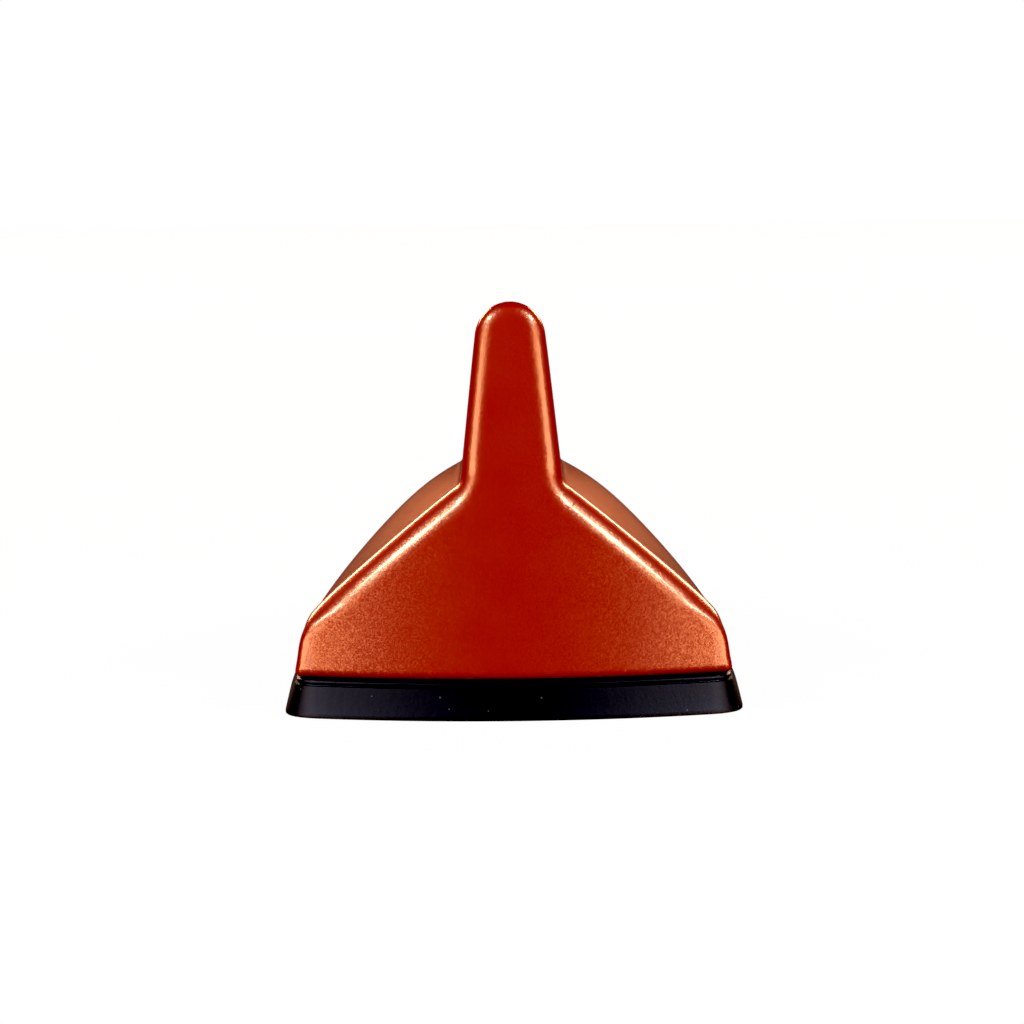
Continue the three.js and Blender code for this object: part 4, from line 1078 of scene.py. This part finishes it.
CONTACT_RADIUS, CONTACT_POINT, CONTACT_TAPER = 0.5, 0.25, 0.35
contact_top = height_of("contact_pin_1")
contact = lathe("contact", [(0, 0), (CONTACT_POINT, 0), (CONTACT_RADIUS, CONTACT_TAPER),
                            (CONTACT_RADIUS, contact_top), (0, contact_top)], (0, 0), turned_brass, 24)
place(repeated("plug_contacts", contact, places(contacts), turned_brass), "brass", *contacts)

# %% Chip resistors in rows beside and behind the shield
RESISTOR_HALF_X, RESISTOR_HALF_Y, RESISTOR_HEIGHT = 0.4, 0.8, 0.45
FROM_SHIELD_SIDE, FROM_SHIELD_REAR, ROW_START = 1.6, 2.4, 2
SIDE_PITCH, SIDE_COUNT, REAR_PITCH, REAR_COUNT = 2.6, 6, 2.25, 9
board_top = span("main_board")[1].z
shield_low, shield_high = span("shield_can")
beside = [(side * (shield_high.x + FROM_SHIELD_SIDE), shield_low.y + ROW_START + SIDE_PITCH * k)
          for side in (-1, 1) for k in range(SIDE_COUNT)]
behind = [(REAR_PITCH * (k - (REAR_COUNT - 1) / 2), shield_low.y - FROM_SHIELD_REAR)
          for k in range(REAR_COUNT)]
resistor = box_piece("resistor", (-RESISTOR_HALF_X, -RESISTOR_HALF_Y, 0),
                     (RESISTOR_HALF_X, RESISTOR_HALF_Y, RESISTOR_HEIGHT))
resistors = repeated("chip_resistors", bevelled(resistor, 0.08, 1),
                     [(x, y, board_top) for x, y in beside + behind], resistor_film)
place(resistors, "moulding")
print("repeated parts:", len(screws), len(clips), len(contacts), len(beside + behind))

# %% [markdown]
# ## Finishes for the parts that stay as they are
#
# The boards, the copper and the shield's frame are flat sheet cut to an outline, which the frame's own
# meshes show exactly. They keep their shape and get their finish.

# %% Finishes on the frame's own parts
KEPT = {
    "main_board": flat_board, "phone_blade": cross_board, "fin_board": upright_board,
    "phone_blade_copper": copper_foil, "shield_frame": plated_steel, "patch_electrode": silver_paste,
}
for node, material in KEPT.items():
    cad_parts[node].material_slots[0].material = material
print("kept parts:", len(KEPT))

# %% [markdown]
# ## Floor, light and camera
#
# The antenna stands on a plain white floor against white. Glossy paint shows its surroundings, so the
# surroundings are what shape it. Two soft boxes high beside the camera draw the thick line down each
# ridge. Two wide warm ones at the height of the panel spread the sheen that falls off from its sides.
# Two low behind draw the thin line outside each ridge and warm the shoulders. Straight in front there
# is nothing but darkness, which keeps the middle of the panel pure red.

# %% Floor
FLOOR_HALF = 900
FLOOR_CLOUD_MM = 80
FLOOR_GLOW = 0.97  # just under white


def backlit_floor():
    """A translucent white table, lit from below: white to the eye, but casting little light back."""
    tree, coords, finish = new_material("backlit_white_table")
    cloud = add(tree, "ShaderNodeTexNoise", Vector=coords, Scale=per_metre(FLOOR_CLOUD_MM), Detail=2.0)
    tone = add(tree, "ShaderNodeMix", COLOURS, i0=cloud, i6=linear("#3E3E3E"), i7=linear("#484848"))
    seen = tree.nodes.new("ShaderNodeLightPath").outputs["Is Camera Ray"]
    glow = add(tree, "ShaderNodeMath", {"operation": "MULTIPLY"}, i0=seen, i1=FLOOR_GLOW)
    table = add(tree, "ShaderNodeBsdfPrincipled", Base_Color=tone.outputs[2], Roughness=0.9,
                Specular_IOR_Level=0.0, Emission_Color=(1, 1, 1, 1), Emission_Strength=glow)
    return finish(table)


floor_corners = [(FLOOR_HALF * x, FLOOR_HALF * y, 0) for x, y in ((-1, -1), (1, -1), (1, 1), (-1, 1))]
floor = make_piece("floor", floor_corners, [(0, 1, 2, 3)], backlit_floor())


# %% Lamps
LAMP_DISTANCE = 1.0
LAMP_AIM = Vector((0, -0.06, 0.03))


def soft_box(name, direction, width, height, radiance, colour):
    """A flat lamp that shines at the rear panel from a direction."""
    data = bpy.data.lights.new(name, "AREA")
    data.shape, data.size, data.size_y = "RECTANGLE", width, height
    data.energy = radiance * math.pi * width * height
    data.color = linear(colour)[:3]
    lamp = linked(name, data)
    away = Vector(direction).normalized()
    lamp.location = LAMP_AIM + away * LAMP_DISTANCE
    lamp.rotation_euler = (-away).to_track_quat("-Z", "Y").to_euler()
    lamp.visible_camera = False


def bearing(azimuth, elevation):
    """A direction in degrees, from straight behind (0) round to the nose (180), and up."""
    a, e = math.radians(azimuth), math.radians(elevation)
    return (math.sin(a) * math.cos(e), -math.cos(a) * math.cos(e), math.sin(e))


# Name, azimuth, elevation, width and height in metres, radiance, colour
LAMPS = [
    ("front", 56, 38, 0.4, 0.16, 15.5, "#FFFFFF"),
    ("low", 54, 8, 0.7, 0.26, 5.0, "#FFCEAA"),
    ("behind", 152, 17, 0.36, 0.14, 18.0, "#FFCCAA"),
]
for side, hand in ((-1, "left"), (1, "right")):
    for name, azimuth, elevation, *rest in LAMPS:
        soft_box(f"{name}_{hand}", bearing(side * azimuth, elevation), *rest)
print("lamps:", 2 * len(LAMPS))

# %% Surroundings, dark to everything but the camera
world = bpy.data.worlds.new("surroundings")
bpy.context.scene.world = world
world.use_nodes = True
sky = world.node_tree
sky.nodes.clear()
seen = sky.nodes.new("ShaderNodeLightPath").outputs["Is Camera Ray"]
tint = add(sky, "ShaderNodeMix", COLOURS, i0=seen, i6=linear("#141416"), i7=linear("#FFFFFF"))
light = add(sky, "ShaderNodeBackground", Color=tint.outputs[2], Strength=1.0)
add(sky, "ShaderNodeOutputWorld", Surface=light)

# %% Camera, straight behind and a little above
LENS_MM, SENSOR_MM, CAMERA_DISTANCE = 180, 36, 0.8
CAMERA_ROLL = math.radians(-0.63)
BLACK_LEVEL = 0.012  # light weaker than this shows as black, as in a picture with strong contrast
target = Vector((0, -75, 31.8)) * MM
back = Vector(bearing(0, 7.7))
camera = linked("camera", bpy.data.cameras.new("camera"))
camera.data.lens, camera.data.sensor_width = LENS_MM, SENSOR_MM
camera.location = target + back * CAMERA_DISTANCE
roll = Quaternion((0, 0, 1), CAMERA_ROLL)
camera.rotation_euler = ((-back).to_track_quat("-Z", "Y") @ roll).to_euler()
bpy.context.scene.camera = camera
shown = bpy.context.scene.view_settings
shown.view_transform = "Standard"
shown.use_curve_mapping = True
shown.curve_mapping.black_level = (BLACK_LEVEL,) * 3
shown.curve_mapping.update()
